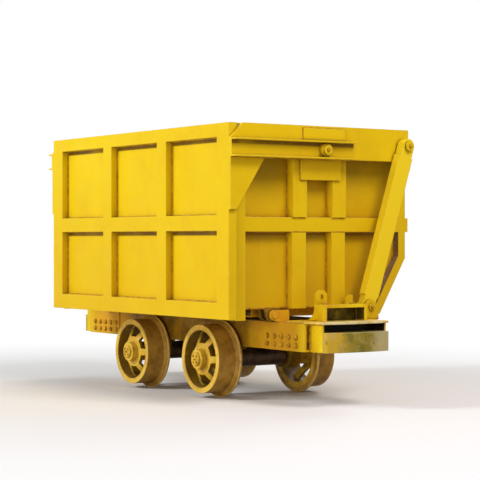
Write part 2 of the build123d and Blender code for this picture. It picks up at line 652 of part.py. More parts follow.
def coupling_bore():
    """Vertical hole for the coupling pin, through pocket roof and deck."""
    top = DECK_TOP + POCKET_OPENING_HEIGHT + POCKET_ROOF
    x = POCKET_FRONT - COUPLING_BORE_INSET
    return rod_z(COUPLING_BORE_RADIUS, SILL_TOP - 1, top + 1, x, 0)


def bumper_housing():
    """Open-fronted box across the frame end, as deep as the sills, that carries the buffer pad."""
    half = HOUSING_WIDTH / 2
    x0, x1 = FRAME_END, FRAME_END + HOUSING_DEPTH
    box = block((x0, x1), (-half, half), (SILL_BOTTOM, SILL_TOP))
    hollow = block((x0 + HOUSING_WALL, x1 + 1), (-half + HOUSING_WALL, half - HOUSING_WALL),
                   (SILL_BOTTOM + HOUSING_WALL, SILL_TOP + 1))
    return box - hollow


def buffer_pad():
    """Worn buffer block: a crowned head over the housing's front edges and a shank inside."""
    half = HOUSING_WIDTH / 2
    back = FRAME_END + HOUSING_DEPTH
    side = back + PAD_HEAD
    edge = ThreePointArc((side, -half), (side + DECK_CROWN, 0), (side, half))
    outline = edge + Polyline((side, half), (back, half), (back, -half), (side, -half))
    head = Pos(0, 0, SILL_BOTTOM) * extrude(make_face(outline), PAD_HEIGHT)
    corners = head.edges().filter_by(Axis.Z).group_by(Axis.X)[-1]
    head = fillet(corners, PAD_CORNER)
    shank_half = half - HOUSING_WALL - PAD_PLAY
    return head + block((FRAME_END + HOUSING_WALL, back), (-shank_half, shank_half),
                        (SILL_BOTTOM + HOUSING_WALL, SILL_BOTTOM + PAD_HEIGHT))


def coupler_pocket():
    """Roofed pocket for the coupling bar, closed behind, with cheeks that sweep down to the deck."""
    half = POCKET_OPENING_WIDTH / 2
    opening_top = DECK_TOP + POCKET_OPENING_HEIGHT
    roof_top = opening_top + POCKET_ROOF
    back = POCKET_FRONT - POCKET_DEPTH
    pocket = block((back, POCKET_FRONT), (-half, half), (opening_top, roof_top))
    pocket += block((back, back + POCKET_BACK), (-half, half), (DECK_TOP, opening_top))
    for y in (-half - POCKET_CHEEK, half):
        pocket += pocket_cheek(back, roof_top, y)
    return pocket - coupling_bore()


def pocket_cheek(back, top, y):
    """Upright cheek plate whose rear edge is a hollow curve from the roof to the deck."""
    foot = back - POCKET_CHEEK_FOOT
    rise = top - DECK_TOP
    sweep = (back - POCKET_CHEEK_FOOT / 4, y, DECK_TOP + rise / 3)
    hollow = ThreePointArc((back, y, top), sweep, (foot, y, DECK_TOP))
    rest = Polyline((foot, y, DECK_TOP), (POCKET_FRONT, y, DECK_TOP), (POCKET_FRONT, y, top), (back, y, top))
    return extrude(make_face(hollow + rest), POCKET_CHEEK, dir=(0, 1, 0))


def chain_lug():
    """Upright eye plate on the deck behind the pocket, on the door side."""
    radius = LUG_WIDTH / 2
    y = -POCKET_OPENING_WIDTH / 2 + radius
    x1 = POCKET_FRONT - POCKET_DEPTH - LUG_GAP
    x0 = x1 - LUG_THICKNESS
    z = DECK_TOP + LUG_HEIGHT - radius
    lug = block((x0, x1), (y - radius, y + radius), (DECK_TOP, z)) + rod_x(radius, x0, x1, (y, z))
    return lug - rod_x(LUG_HOLE_RADIUS, x0 - 1, x1 + 1, (y, z))


def axle(x):
    """Axle with journals in the axle boxes and seats in the wheels."""
    end = WHEEL_FACE_Y - AXLE_END_GAP
    body = rod_y(JOURNAL_RADIUS, -end, end, x, AXLE_Z)
    middle = BOX_INNER_Y - MOVING_GAP
    return body + rod_y(AXLE_RADIUS, -middle, middle, x, AXLE_Z)


def wheel(x, side):
    """Cast flanged wheel: tapered tread, dished web with windows between spokes, hub with a cap."""
    back, face = WHEEL_BACK_Y, WHEEL_FACE_Y
    flange_radius = TREAD_RADIUS + FLANGE_HEIGHT
    rim_inner = TREAD_RADIUS - RIM_THICKNESS
    rim = [
        # radius, distance from mid track
        (rim_inner, back), (flange_radius - TREAD_TAPER, back),
        (flange_radius, back + FLANGE_WIDTH / 3), (flange_radius, back + FLANGE_WIDTH / 2),
        (TREAD_RADIUS, back + FLANGE_WIDTH), (TREAD_RADIUS - TREAD_TAPER, face), (rim_inner, face),
    ]
    web_out = (back + face + SPOKE_THICKNESS) / 2
    ring_out = face - RING_INSET
    web = [
        (HUB_RADIUS - 1, ring_out - SPOKE_THICKNESS), (RING_RADIUS, ring_out - SPOKE_THICKNESS),
        (rim_inner + 1, web_out - SPOKE_THICKNESS), (rim_inner + 1, web_out),
        (RING_RADIUS, ring_out), (HUB_RADIUS - 1, ring_out),
    ]
    windows = Pos(0, back, 0) * Rot(-90, 0, 0) * extrude(spoke_windows(rim_inner), face - back)
    body = turned(web) - windows + turned(rim)
    body += rod_y(HUB_RADIUS, back - MOVING_GAP / 2, face + HUB_PROUD, 0, 0)
    cap_start = face + HUB_PROUD
    cap = rod_y(HUB_CAP_RADIUS, cap_start, cap_start + HUB_CAP_HEIGHT, 0, 0)
    body += chamfer(cap.edges().filter_by(GeomType.CIRCLE).sort_by(Axis.Y)[-1], HUB_CAP_HEIGHT / 3)
    body -= rod_y(JOURNAL_RADIUS, back - MOVING_GAP, face, 0, 0)
    placed = Pos(x, 0, AXLE_Z) * body
    return placed if side > 0 else mirror(placed, Plane.XZ)


def turned(profile):
    """Solid of revolution about Y; the profile is a list of (radius, y) points."""
    outline = Polyline(*[(radius, y, 0) for radius, y in profile], close=True)
    return revolve(make_face(outline), Axis.Y, 360)


def spoke_windows(rim_inner):
    """Openings between the spokes, as faces in the wheel's plane."""
    ring = Circle(rim_inner) - Circle(RING_RADIUS)
    bars = Sketch()
    bar = Pos(rim_inner / 2, 0) * Rectangle(rim_inner + 2, SPOKE_WIDTH)
    for index in range(SPOKES):
        bars += Rot(0, 0, index * 360 / SPOKES) * bar
    windows = ring - bars
    return fillet(windows.vertices(), SPOKE_ROUND)


def save(name, shape):
    """Write one node."""
    shape.label = name
    export_step(shape, f"{PARTS}/{name}.step")


def save_both_ends(name, shape):
    """Write a piece at the front end and its mirror image at the rear end."""
    save(f"{name}_front", shape)
    save(f"{name}_rear", mirror(shape, Plane.YZ))


def main():
    """Build every node and write it."""
    os.makedirs(PARTS, exist_ok=True)
    save("tub_floor", tub_floor())
    save("floor_bearers", floor_bearers())
    save("side_wall", side_wall())
    save("door_panel", door_panel())
    save("roller_bracket", roller_bracket())
    save("dump_roller", dump_roller())
    save("sill_door_side", sill(-1))
    save("sill_slope_side", sill(1))
    save("cross_member_middle", cross_member(0.0))
    end_pieces = {
        "end_wall": end_wall(),
        "pivot_box": pivot_box(),
        "tub_ears": tub_ears(),
        "door_lever": door_lever(),
        "link": link(),
        "hinge_bracket": hinge_bracket(),
        "rest_pad": rest_pad(),
        "cross_member": cross_member(CROSS_MEMBER_X),
        "deck": deck(),
        "bumper_housing": bumper_housing(),
        "buffer_pad": buffer_pad(),
        "coupler_pocket": coupler_pocket(),
        "chain_lug": chain_lug(),
        "link_bracket": link_bracket(),
        "axle": axle(WHEELBASE / 2),
    }
    for name, shape in end_pieces.items():
        save_both_ends(name, shape)
    for side, side_name in ((-1, "door_side"), (1, "slope_side")):
        save_both_ends(f"axle_box_{side_name}", axle_box(WHEELBASE / 2, side))
        save_both_ends(f"wheel_{side_name}", wheel(WHEELBASE / 2, side))


main()
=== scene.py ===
import json
import math

import bmesh
import bpy
from mathutils import Matrix, Vector, noise


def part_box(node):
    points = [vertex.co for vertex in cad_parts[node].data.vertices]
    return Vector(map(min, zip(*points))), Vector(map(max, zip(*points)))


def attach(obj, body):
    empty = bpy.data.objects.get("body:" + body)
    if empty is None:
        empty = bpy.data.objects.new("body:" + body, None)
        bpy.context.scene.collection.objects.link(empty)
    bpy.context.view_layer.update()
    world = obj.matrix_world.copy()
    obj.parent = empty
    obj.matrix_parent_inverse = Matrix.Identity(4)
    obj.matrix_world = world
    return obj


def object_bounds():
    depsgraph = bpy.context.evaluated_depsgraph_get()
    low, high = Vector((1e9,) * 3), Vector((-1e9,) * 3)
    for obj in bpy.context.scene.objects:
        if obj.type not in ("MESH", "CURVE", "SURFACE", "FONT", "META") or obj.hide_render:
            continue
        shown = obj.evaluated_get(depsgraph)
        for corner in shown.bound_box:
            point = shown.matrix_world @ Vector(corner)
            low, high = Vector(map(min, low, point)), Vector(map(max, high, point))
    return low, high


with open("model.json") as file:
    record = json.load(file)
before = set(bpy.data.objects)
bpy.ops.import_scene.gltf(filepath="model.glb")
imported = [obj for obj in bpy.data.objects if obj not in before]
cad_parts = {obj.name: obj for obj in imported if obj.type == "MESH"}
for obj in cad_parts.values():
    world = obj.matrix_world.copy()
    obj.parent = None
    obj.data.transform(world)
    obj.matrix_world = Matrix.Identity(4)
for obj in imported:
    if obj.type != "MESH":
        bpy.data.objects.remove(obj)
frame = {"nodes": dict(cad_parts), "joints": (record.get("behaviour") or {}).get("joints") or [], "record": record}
NODES = frame["nodes"]
BODY_OF = {n: body for body, names in frame["record"]["behaviour"]["bodies"].items() for n in names}
JOINT_AT = {joint["name"]: joint["pos_m"] for joint in frame["joints"]}
CAD_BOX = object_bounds()

# The photo's viewpoint for the upper near car, in metres, and the share of the frame it fills
CAMERA = Vector((8.21, -5.44, 0.91))
FILL = 0.88
SENSOR = 36.0

# Soft lights: place, aim, width and height in metres, power in watts, colour
WHITE_LIGHT = (1, 1, 1)
LIGHTS = {
    "key": ((-3.3, -9.1, 6.2), (0, 0, 0.8), (2.6, 2.2), 600, WHITE_LIGHT),
    "end": ((5.5, 0.6, 6.4), (0.9, 0, 0.8), (3.0, 3.0), 300, (1.0, 0.89, 0.88)),
    "fill": ((3.6, -8.4, 1.3), (1.0, -0.2, 0.6), (3.0, 2.0), 215, (1.0, 0.93, 0.80)),
    "back": ((-3.0, 7.5, 5.0), (0, 0, 0.8), (4.0, 3.0), 300, WHITE_LIGHT),
}
SKY, SKY_STRENGTH = (0.96, 0.98, 1.0, 1), 0.30
WHITE = (1, 1, 1, 1)

# Floor: half its side, where it starts to fade to white and is white, and the colour it throws back
FLOOR_HALF = 30.0
FLOOR_FADE = (1.6, 5.0)
FLOOR_BOUNCE = (0.48, 0.42, 0.32, 1)

# Depths of wear, of dirt and of painted shade in corners, in metres, and how finely they are sampled
EDGE_WEAR, HEAVY_EDGE_WEAR, LIGHT_EDGE_WEAR, BOLT_EDGE_WEAR = 0.005, 0.006, 0.002, 0.0016
CORNER_SHADE_AND_GRIME, WHEEL_SHADE_AND_GRIME, SEAM_DIRT, BOLT_DIRT = 0.075, 0.060, 0.016, 0.012
EDGE_SAMPLES, AIR_SAMPLES = 4, 6

# Heights and reaches, in metres, between which the paint changes: from none to all
DEEP_TONE_Z = (1.25, 0.50)
FLAKY_PAINT_Z = (1.30, 1.50)
ORE_DUST_Z = (0.90, 0.53)
# Reach along X of the warm painted shade on the frame, from none to all
WARM_SHADE_X = (1.16, 1.09)
DECK_WEAR_X = (1.20, 1.30)

# Weld beads: radii and ripple pitch in metres, and how much of the radius they swell by
BEAD = 0.0048
HEAVY_BEAD, LIGHT_BEAD = 1.2 * BEAD, 0.7 * BEAD
BEAD_PITCH = 0.009
BEAD_SIDES = 6
BEAD_RIPPLE = (-0.08, 0.10)
BEAD_WANDER, WANDER_SCALE = 0.18, 60

# Bolts: shank sizes in metres, and the angle over which an edge of a small piece stays sharp
M12, M16 = 0.012, 0.016
SHARP_ANGLE = math.radians(40)

# Both ends of the car, and both sides of it
ENDS = (1, -1)
SIDES = (1, -1)

# Door gear's pins, as y and z in metres: a link's upper pin closes the parallelogram of the tub's
# hinge, the lever's pivot and the link's lower pin
HINGE, PIVOT, FRAME_PIN = [JOINT_AT[name][1:] for name in ("tub_tip", "door_swing", "link_front_swing")]
LINK_PIN = [pivot + low - hinge for pivot, low, hinge in zip(PIVOT, FRAME_PIN, HINGE)]
BOSS_RADIUS, PIN_RADIUS = 0.036, 0.020

# Door and its levers, in metres: the gusset stands on the panel's end and inner face
DOOR_POST, DOOR_RIB, DOOR_BAYS = 0.118, 0.100, 3
DOOR_ROWS = ((0.569, 0.960), (1.046, 1.469))
DOOR_SHEET_Y = -0.583
LEVER_FACE, CHANNEL_WEB_X, CHANNEL_WALL, CHANNEL_Z = 1.026, 1.035, 0.009, (1.360, 1.460)
CHANNEL_TIP_Y, CHANNEL_ROOT_INSET = 0.205, 0.01
DOUBLER_HALF, DOUBLER_FOOT_Z, DOUBLER_TOP_Z = 0.145, CHANNEL_Z[1] + 0.002, 1.53
GUSSET_X, GUSSET_Y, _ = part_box("door_panel")[1]
GUSSET_FOOT_Z = 1.08

# Tub, in metres: an end wall's outermost faces are its upper ribs', and its rails end with the side wall
UPPER_RIB_X, SIDE_SHEET_Y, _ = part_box("end_wall_front")[1]
END_SHEET_X, END_FACE_X = 0.930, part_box("side_wall")[1][0]
END_RIBS = ((-0.1845, -0.0895), (0.0895, 0.1845))
END_POST_Y = -0.498
FLOOR_SEAM_Z, MID_RAIL, TOP_RAIL_Z = 0.534, (0.956, 1.036), 1.466
SLOPE_FOOT_Y, SLOPE_KNEE_Z = 0.416, 0.79
PIVOT_BOX_SEAM_Z = 1.32
SIDE_RIBS_X, SIDE_RIB_HALF, SIDE_RIB_KNEE_Z, SIDE_RIB_FOOT = (-0.49, 0.49), 0.04, 0.80, (0.42, 0.54)
ROLLER_PIN_Z, ROLLER_BOLT_CIRCLE = JOINT_AT["roller_spin"][2], 0.026

# Chassis, in metres
SILL_FACE_Y, PLATE_FACE_Y = 0.250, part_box("sill_slope_side")[1][1]
SIDE_PLATE_X, SIDE_PLATE_Z = 0.812, (0.335, 0.452)
SIDE_PLATE_BOLTS = {"first": 0.846, "pitch": 0.068, "columns": 5, "rows": (0.334, 0.378)}
HOUSING_INNER_Y, HOUSING_SEAM_Z = 0.206, (0.305, 0.452)
DECK_SEAM_X, DECK_SEAM_Y = (1.192, 1.30), 0.222
POCKET_INNER_Y, POCKET_OUTER_Y, POCKET_ROOF_Z = 0.128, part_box("coupler_pocket_front")[1][1], 0.539
POCKET_SEAM_X = (1.07, 1.222)
POCKET_BOLT_X, POCKET_BOLTS_Y = 1.16, (-0.09, 0.09)
LUG_SEAM_Y = (-0.126, -0.054)
BRACKET_FOOT = ((1.012, 0.153), (1.106, 0.223), (1.106, 0.327), (1.012, 0.327))
HINGE_SEAMS_X, HINGE_SEAM_Y = (0.840, 0.856, 0.944, 0.960), (-0.248, -0.192)
AXLE_X, _, AXLE_Z = JOINT_AT["wheelset_front_spin"]
AXLE_BOX_BOLTS = {"reach": (-0.098, 0.098), "y": 0.222, "below": 0.281, "above": 0.315}

# Wheel, in metres: the hub's, the dish's and the flange's radii, where the rim's edges and the tread
# begin, and the outer side of the tread
HUB_RADIUS, DISH_RADIUS, FLANGE_RADIUS = 0.060, 0.172, 0.2205
RIM_RADIUS, TREAD_RADIUS, TREAD_SIDE_Y = 0.15, 0.193, 0.409
HUB_BOLT, HUB_BOLT_CIRCLE = 0.0075, 0.025
NIPPLE = [(0, -0.001), (0.006, -0.001), (0.006, 0.004), (0.0035, 0.006), (0.0035, 0.009),
          (0.0045, 0.011), (0.002, 0.014), (0, 0.014)]


class Graph:
    """Short way to build one node material."""

    def __init__(self, name):
        self.material = bpy.data.materials.new(name)
        self.material.use_nodes = True
        self.tree = self.material.node_tree
        self.shader = self.tree.nodes["Principled BSDF"]
        self.coordinates = self.tree.nodes.new("ShaderNodeTexCoord")
        self.place = self.coordinates.outputs["Object"]
        self.axes = self.split(self.place)
        self.facing = self.split(self.coordinates.outputs["Normal"])

    def link(self, source, target):
        self.tree.links.new(source, target)

    def feed(self, socket, value):
        """Links an output to a socket, or sets the socket's own value."""
        if isinstance(value, bpy.types.NodeSocket):
            self.link(value, socket)
        else:
            socket.default_value = value

    def split(self, vector):
        """The x, y and z outputs of a vector."""
        node = self.tree.nodes.new("ShaderNodeSeparateXYZ")
        self.link(vector, node.inputs["Vector"])
        return node.outputs

    def noise(self, scale, detail, rough=0.6, stretch=(1, 1, 1), offset=0.0):
        """Fractal noise in metres of the object's own space."""
        mapping = self.tree.nodes.new("ShaderNodeMapping")
        mapping.inputs["Scale"].default_value = stretch
        mapping.inputs["Location"].default_value = (offset, offset * 0.7, -offset)
        self.link(self.place, mapping.inputs["Vector"])
        texture = self.tree.nodes.new("ShaderNodeTexNoise")
        texture.inputs["Scale"].default_value = scale
        texture.inputs["Detail"].default_value = detail
        texture.inputs["Roughness"].default_value = rough
        self.link(mapping.outputs["Vector"], texture.inputs["Vector"])
        return texture.outputs["Fac"]

    def ramp(self, value, low, high, start=0.0, end=1.0):
        """Smooth step of a value from low to high."""
        node = self.tree.nodes.new("ShaderNodeMapRange")
        node.interpolation_type = "SMOOTHSTEP"
        self.link(value, node.inputs["Value"])
        node.inputs["From Min"].default_value = low
        node.inputs["From Max"].default_value = high
        node.inputs["To Min"].default_value = start
        node.inputs["To Max"].default_value = end
        return node.outputs["Result"]

    def math(self, operation, first, second=0.0):
        node = self.tree.nodes.new("ShaderNodeMath")
        node.operation = operation
        self.feed(node.inputs[0], first)
        self.feed(node.inputs[1], second)
        return node.outputs["Value"]

    def times(self, *values):
        """Product of outputs and numbers."""
        product = values[0]
        for value in values[1:]:
            product = self.math("MULTIPLY", product, value)
        return product

    def away(self, axis):
        """Distance from the car's middle along an axis, on either side."""
        return self.math("ABSOLUTE", self.axes[axis])

    def length(self, first, second):
        """Distance, from its parts along two axes."""
        return self.math("SQRT", self.math("ADD", self.times(first, first), self.times(second, second)))

    def mix(self, factor, first, second):
        """Colour mix; colours are outputs or linear RGBA."""
        node = self.tree.nodes.new("ShaderNodeMix")
        node.data_type = "RGBA"
        self.feed(node.inputs["Factor"], factor)
        self.feed(node.inputs["A"], first)
        self.feed(node.inputs["B"], second)
        return node.outputs["Result"]

    def edges(self, radius):
        """1 on sharp edges, 0 on flats, with the rounded normal that shows them."""
        bevel = self.tree.nodes.new("ShaderNodeBevel")
        bevel.samples = EDGE_SAMPLES
        bevel.inputs["Radius"].default_value = radius
        geometry = self.tree.nodes.new("ShaderNodeNewGeometry")
        dot = self.tree.nodes.new("ShaderNodeVectorMath")
        dot.operation = "DOT_PRODUCT"
        self.link(bevel.outputs["Normal"], dot.inputs[0])
        self.link(geometry.outputs["Normal"], dot.inputs[1])
        return self.ramp(dot.outputs["Value"], 0.995, 0.88), bevel.outputs["Normal"]

    def open_air(self, distance):
        """1 on open faces, towards 0 in corners."""
        node = self.tree.nodes.new("ShaderNodeAmbientOcclusion")
        node.samples = AIR_SAMPLES
        node.inputs["Distance"].default_value = distance
        return node.outputs["AO"]

    def bump(self, height, distance, strength, normal=None):
        node = self.tree.nodes.new("ShaderNodeBump")
        node.inputs["Distance"].default_value = distance
        node.inputs["Strength"].default_value = strength
        self.link(height, node.inputs["Height"])
        if normal is not None:
            self.link(normal, node.inputs["Normal"])
        return node.outputs["Normal"]

    def surface(self, colour, roughness, normal=None, metallic=0.0, specular=0.3):
        self.feed(self.shader.inputs["Base Color"], colour)
        self.feed(self.shader.inputs["Roughness"], roughness)
        self.feed(self.shader.inputs["Metallic"], metallic)
        self.shader.inputs["Specular IOR Level"].default_value = specular
        if normal is not None:
            self.link(normal, self.shader.inputs["Normal"])
        return self.material


def rgb(red, green, blue):
    """Linear RGBA from an sRGB colour of 0 to 255."""
    return tuple(((c / 255 + 0.055) / 1.055) ** 2.4 if c > 10 else c / 255 / 12.92
                 for c in (red, green, blue)) + (1.0,)


YELLOW = rgb(236, 202, 18)
YELLOW_SUN = rgb(242, 212, 22)
YELLOW_DEEP = rgb(222, 174, 20)
# Paler yellow of painted light
YELLOW_PAINTED_LIGHT = rgb(253, 223, 40)
# Pale yellow of rubbed edges and painted highlight
YELLOW_RUB_AND_HIGHLIGHT = rgb(252, 226, 104)
# Amber of runs, also laid as warm painted shade on recessed sheets
AMBER_RUN_AND_SHADE = rgb(188, 128, 24)
# Warm painted shade on the frame under the tub
AMBER_WARM_SHADE = rgb(222, 150, 38)
# Brown of grime, also laid as painted shade in corners and below rails
GRIME_AND_SHADE = rgb(104, 74, 20)
SEAM_BROWN = rgb(112, 76, 14)
# Soot, also laid as painted shade under the middle of the tub
SOOT_AND_SHADE = rgb(58, 44, 18)
DUST = rgb(186, 152, 74)
RUST = rgb(128, 68, 28)
RUST_DARK = rgb(66, 38, 22)


def paint(name, wear, dirt, pale=0.0, inside=None, under=None, sheet=None, shadow_ledges=()):
    """Safety yellow on plate: tonal drift, grime and painted shade in the corners, runs, pale edges of rubbed wear
    and painted highlight, rusty chips.

    pale is how far painted light lightens the whole part towards a paler yellow.
    inside names the axis across the sheet whose inner face the ore has scoured.
    under is how thick grime and painted shade lie beneath the tub, and the reaches along X where they start and
    are full.
    sheet is the axis across a recessed sheet, how far out it lies, and how much warm painted shade it takes.
    ledges are the height of a rail's underside over that sheet, how deep the painted shadow below it hangs,
    how thick it is, and the share of that depth over which it stays even.
    """
    g = Graph(name)
    base = weathered_yellow(g, dirt)
    # Painted light: the whole part lightened towards a paler yellow
    if pale:
        base = g.mix(pale, base, YELLOW_PAINTED_LIGHT)
    airy = g.open_air(CORNER_SHADE_AND_GRIME)
    # Grime and painted shade darken the corners
    base = corner_grime_and_shade(g, base, airy, dirt)
    if sheet:
        base = sheet_shade(g, base, *sheet, shadow_ledges)
    if under:
        base = grime_and_shade_under_tub(g, base, *under)
    base, chip, rounded = worn_edges(g, base, airy, wear)
    rough = g.ramp(g.noise(8.0, 5.0, 0.7, offset=7.7), 0.3, 0.75, 0.36, 0.56)
    if inside:
        base, rough = scoured(g, base, rough, inside)
    wave = g.bump(g.noise(2.6, 2.0, 0.4, offset=4.0), 0.012, 0.35, rounded)
    peel = g.bump(g.noise(210.0, 3.0, 0.6), 0.0004, 0.45, wave)
    pit = g.bump(g.math("SUBTRACT", 1.0, chip), 0.0010, 0.7, peel)
    return g.surface(base, rough, pit, specular=0.11)


def weathered_yellow(g, dirt):
    """Yellow with bleached and darker clouds and amber runs, deeper low down."""
    drift = g.ramp(g.noise(1.3, 3.0, 0.55), 0.3, 0.7)
    base = g.mix(drift, YELLOW, YELLOW_SUN)
    cloud = g.ramp(g.noise(4.2, 6.0, 0.62, offset=3.1), 0.44, 0.78)
    base = g.mix(g.times(cloud, 0.30 + 0.3 * dirt), base, YELLOW_DEEP)
    streak = g.ramp(g.noise(24.0, 5.0, 0.7, stretch=(1, 1, 0.05), offset=1.7), 0.56, 0.82)
    base = g.mix(g.times(streak, 0.42 * dirt), base, AMBER_RUN_AND_SHADE)
    return g.mix(g.ramp(g.axes["Z"], *DEEP_TONE_Z, 0.0, 0.40), base, YELLOW_DEEP)


def corner_grime_and_shade(g, base, airy, dirt):
    """Brown grime and painted shade that thicken into the corners, and darker seams."""
    patch = g.ramp(g.noise(13.0, 6.0, 0.7, offset=5.0), 0.28, 0.70, 0.45, 1.0)
    base = g.mix(g.times(g.ramp(airy, 0.80, 0.22), patch, 0.55 + 0.4 * dirt), base, GRIME_AND_SHADE)
    tight = g.ramp(g.open_air(SEAM_DIRT), 0.80, 0.35)
    return g.mix(g.times(tight, 0.75), base, SEAM_BROWN)


def sheet_shade(g, base, axis, reach, amber, shadow_ledges):
    """Warm painted shade on a recessed sheet, and painted shadow hanging below its rails."""
    across = g.away(axis)
    low = g.times(g.ramp(across, reach + 0.012, reach + 0.004),
                  g.ramp(across, reach - 0.006, reach - 0.003),
                  g.ramp(g.math("ABSOLUTE", g.facing[axis]), 0.6, 0.9))
    # Warm painted shade on the recessed sheet
    base = g.mix(g.times(low, amber), base, AMBER_RUN_AND_SHADE)
    # Painted shadow: a dark band on the sheet below each rail's underside
    for height, depth, thick, even in shadow_ledges:
        ledge_shadow = g.times(low, g.ramp(g.axes["Z"], height - depth, height - even * depth),
                       g.ramp(g.axes["Z"], height + 0.03, height + 0.001))
        blot = g.ramp(g.noise(5.0, 5.0, 0.6, offset=21.0), 0.2, 0.6, 0.6, 1.0)
        base = g.mix(g.times(ledge_shadow, blot, thick), base, GRIME_AND_SHADE)
    return base


def grime_and_shade_under_tub(g, base, amount, start, full):
    """Grime, soot and painted shade under the middle of the tub, thinning towards the open ends, and warm painted
    shade on the frame inboard of the ends.
    """
    fringe = g.ramp(g.noise(10.0, 6.0, 0.65, offset=2.0), 0.30, 0.55, 0.4, 1.0)
    # Warm painted shade inboard of the ends, where the tub shades the frame
    near = g.ramp(g.away("X"), *WARM_SHADE_X)
    base = g.mix(g.times(near, fringe, 0.7 * amount), base, AMBER_WARM_SHADE)
    # Soot and painted shade thicken towards the middle of the tub
    reach = g.ramp(g.away("X"), start, full)
    blot = g.ramp(g.noise(6.5, 7.0, 0.7, offset=8.0), 0.30, 0.62, 0.55, 1.0)
    return g.mix(g.times(reach, blot, amount), base, SOOT_AND_SHADE)


def worn_edges(g, base, airy, wear):
    """Pale edges of rubbed wear and painted highlight, and rusty chips: the colour, where the chips are, and the
    rounded normal.
    """
    edge, rounded = g.edges(EDGE_WEAR)
    # Painted highlight and rubbed wear: exposed edges go paler
    proud = g.times(edge, g.ramp(airy, 0.35, 0.6))
    rub = g.ramp(g.noise(30.0, 6.0, 0.7, offset=6.0), 0.36, 0.60)
    base = g.mix(g.times(proud, rub, 0.75), base, YELLOW_RUB_AND_HIGHLIGHT)
    nibble = g.ramp(g.noise(52.0, 8.0, 0.75, offset=9.0), 0.54, 0.62)
    spot = g.ramp(g.noise(48.0, 9.0, 0.8, offset=2.2), 0.735, 0.76)
    chip = g.math("MAXIMUM", g.times(edge, nibble, wear), g.times(spot, wear))
    rust = g.mix(g.ramp(g.noise(160.0, 3.0), 0.35, 0.65), RUST, RUST_DARK)
    return g.mix(chip, base, rust), chip, rounded


def scoured(g, base, rough, axis):
    """Inner face of a tub sheet: paint gone, brown steel with drag marks and settled dust."""
    brown, grey, bright, earth = rgb(94, 74, 54), rgb(142, 122, 96), rgb(172, 160, 140), rgb(138, 112, 80)
    if axis == "Z":
        inward = g.ramp(g.facing["Z"], 0.4, 0.6)
    else:
        inward = g.ramp(g.times(g.facing[axis], g.axes[axis]), -0.10, -0.25)
    tone = g.ramp(g.noise(3.4, 7.0, 0.68, offset=11.0), 0.34, 0.68)
    steel = g.mix(tone, brown, grey)
    drag = g.ramp(g.noise(38.0, 6.0, 0.72, stretch=(1, 1, 0.07), offset=12.0), 0.52, 0.72)
    steel = g.mix(g.times(drag, 0.6), steel, bright)
    bloom = g.ramp(g.noise(7.0, 8.0, 0.72, offset=13.0), 0.50, 0.68)
    steel = g.mix(g.times(bloom, 0.7), steel, RUST)
    low = g.ramp(g.axes["Z"], *ORE_DUST_Z)
    steel = g.mix(g.times(low, g.ramp(g.noise(5.0, 6.0, 0.7), 0.3, 0.6), 0.75), steel, earth)
    left = g.ramp(g.axes["Z"], *FLAKY_PAINT_Z)
    flake = g.ramp(g.noise(9.0, 8.0, 0.74, offset=15.0), 0.50, 0.56)
    bare = g.times(inward, g.math("SUBTRACT", 1.0, g.times(left, flake)))
    return g.mix(bare, base, steel), g.math("MAXIMUM", rough, g.times(bare, 0.62))


def deck_paint(name):
    """Deck plate, trodden and rubbed pale towards its front edge."""
    rubbed, edge_rub_and_highlight = rgb(240, 228, 178), rgb(250, 240, 204)
    g = Graph(name)
    cloud = g.ramp(g.noise(6.0, 6.0, 0.62, offset=3.1), 0.40, 0.70)
    base = g.mix(cloud, YELLOW, YELLOW_DEEP)
    front = g.ramp(g.away("X"), *DECK_WEAR_X)
    worn = g.ramp(g.noise(16.0, 8.0, 0.72, offset=4.0), 0.36, 0.54)
    base = g.mix(g.times(front, worn), base, rubbed)
    foot = g.ramp(g.noise(9.0, 7.0, 0.7, offset=1.0), 0.45, 0.62)
    airy = g.open_air(CORNER_SHADE_AND_GRIME)
    base = g.mix(g.times(foot, 0.45), base, DUST)
    # Grime and painted shade in the deck's corners
    base = g.mix(g.times(g.ramp(airy, 0.8, 0.25), 0.8), base, GRIME_AND_SHADE)
    edge, rounded = g.edges(EDGE_WEAR)
    # Pale edges: rubbed wear and painted highlight
    base = g.mix(g.times(edge, g.ramp(airy, 0.35, 0.6), 0.8), base, edge_rub_and_highlight)
    grain = g.bump(g.noise(70.0, 6.0, 0.7), 0.0012, 0.5, rounded)
    return g.surface(base, 0.55, grain, specular=0.25)


def housing_paint(name):
    """Bumper housing: yellow sides, and oily black painted shadow behind the buffer under the deck's lip."""
    oily = rgb(38, 28, 12)
    g = Graph(name)
    cloud = g.ramp(g.noise(5.0, 6.0, 0.62, offset=3.1), 0.40, 0.72)
    base = g.mix(cloud, YELLOW_SUN, YELLOW_DEEP)
    # Grime and painted shade in the housing's corners
    base = g.mix(g.times(g.ramp(g.open_air(CORNER_SHADE_AND_GRIME), 0.75, 0.2), 0.6), base, GRIME_AND_SHADE)
    edge, rounded = g.edges(EDGE_WEAR)
    # Pale edges: rubbed wear and painted highlight
    base = g.mix(g.times(edge, g.ramp(g.noise(30.0, 6.0, 0.7), 0.36, 0.6), 0.75), base, YELLOW_RUB_AND_HIGHLIGHT)
    # Painted shadow, oily black, on the housing's inner faces under the deck's lip
    inner = g.ramp(g.away("Y"), HOUSING_INNER_Y + 0.003, HOUSING_INNER_Y + 0.001)
    base = g.mix(g.times(inner, g.ramp(g.noise(18.0, 5.0, 0.6), 0.2, 0.4, 0.75, 1.0)), base, oily)
    grain = g.bump(g.noise(120.0, 5.0, 0.7), 0.0008, 0.5, rounded)
    return g.surface(base, 0.5, grain, specular=0.14)


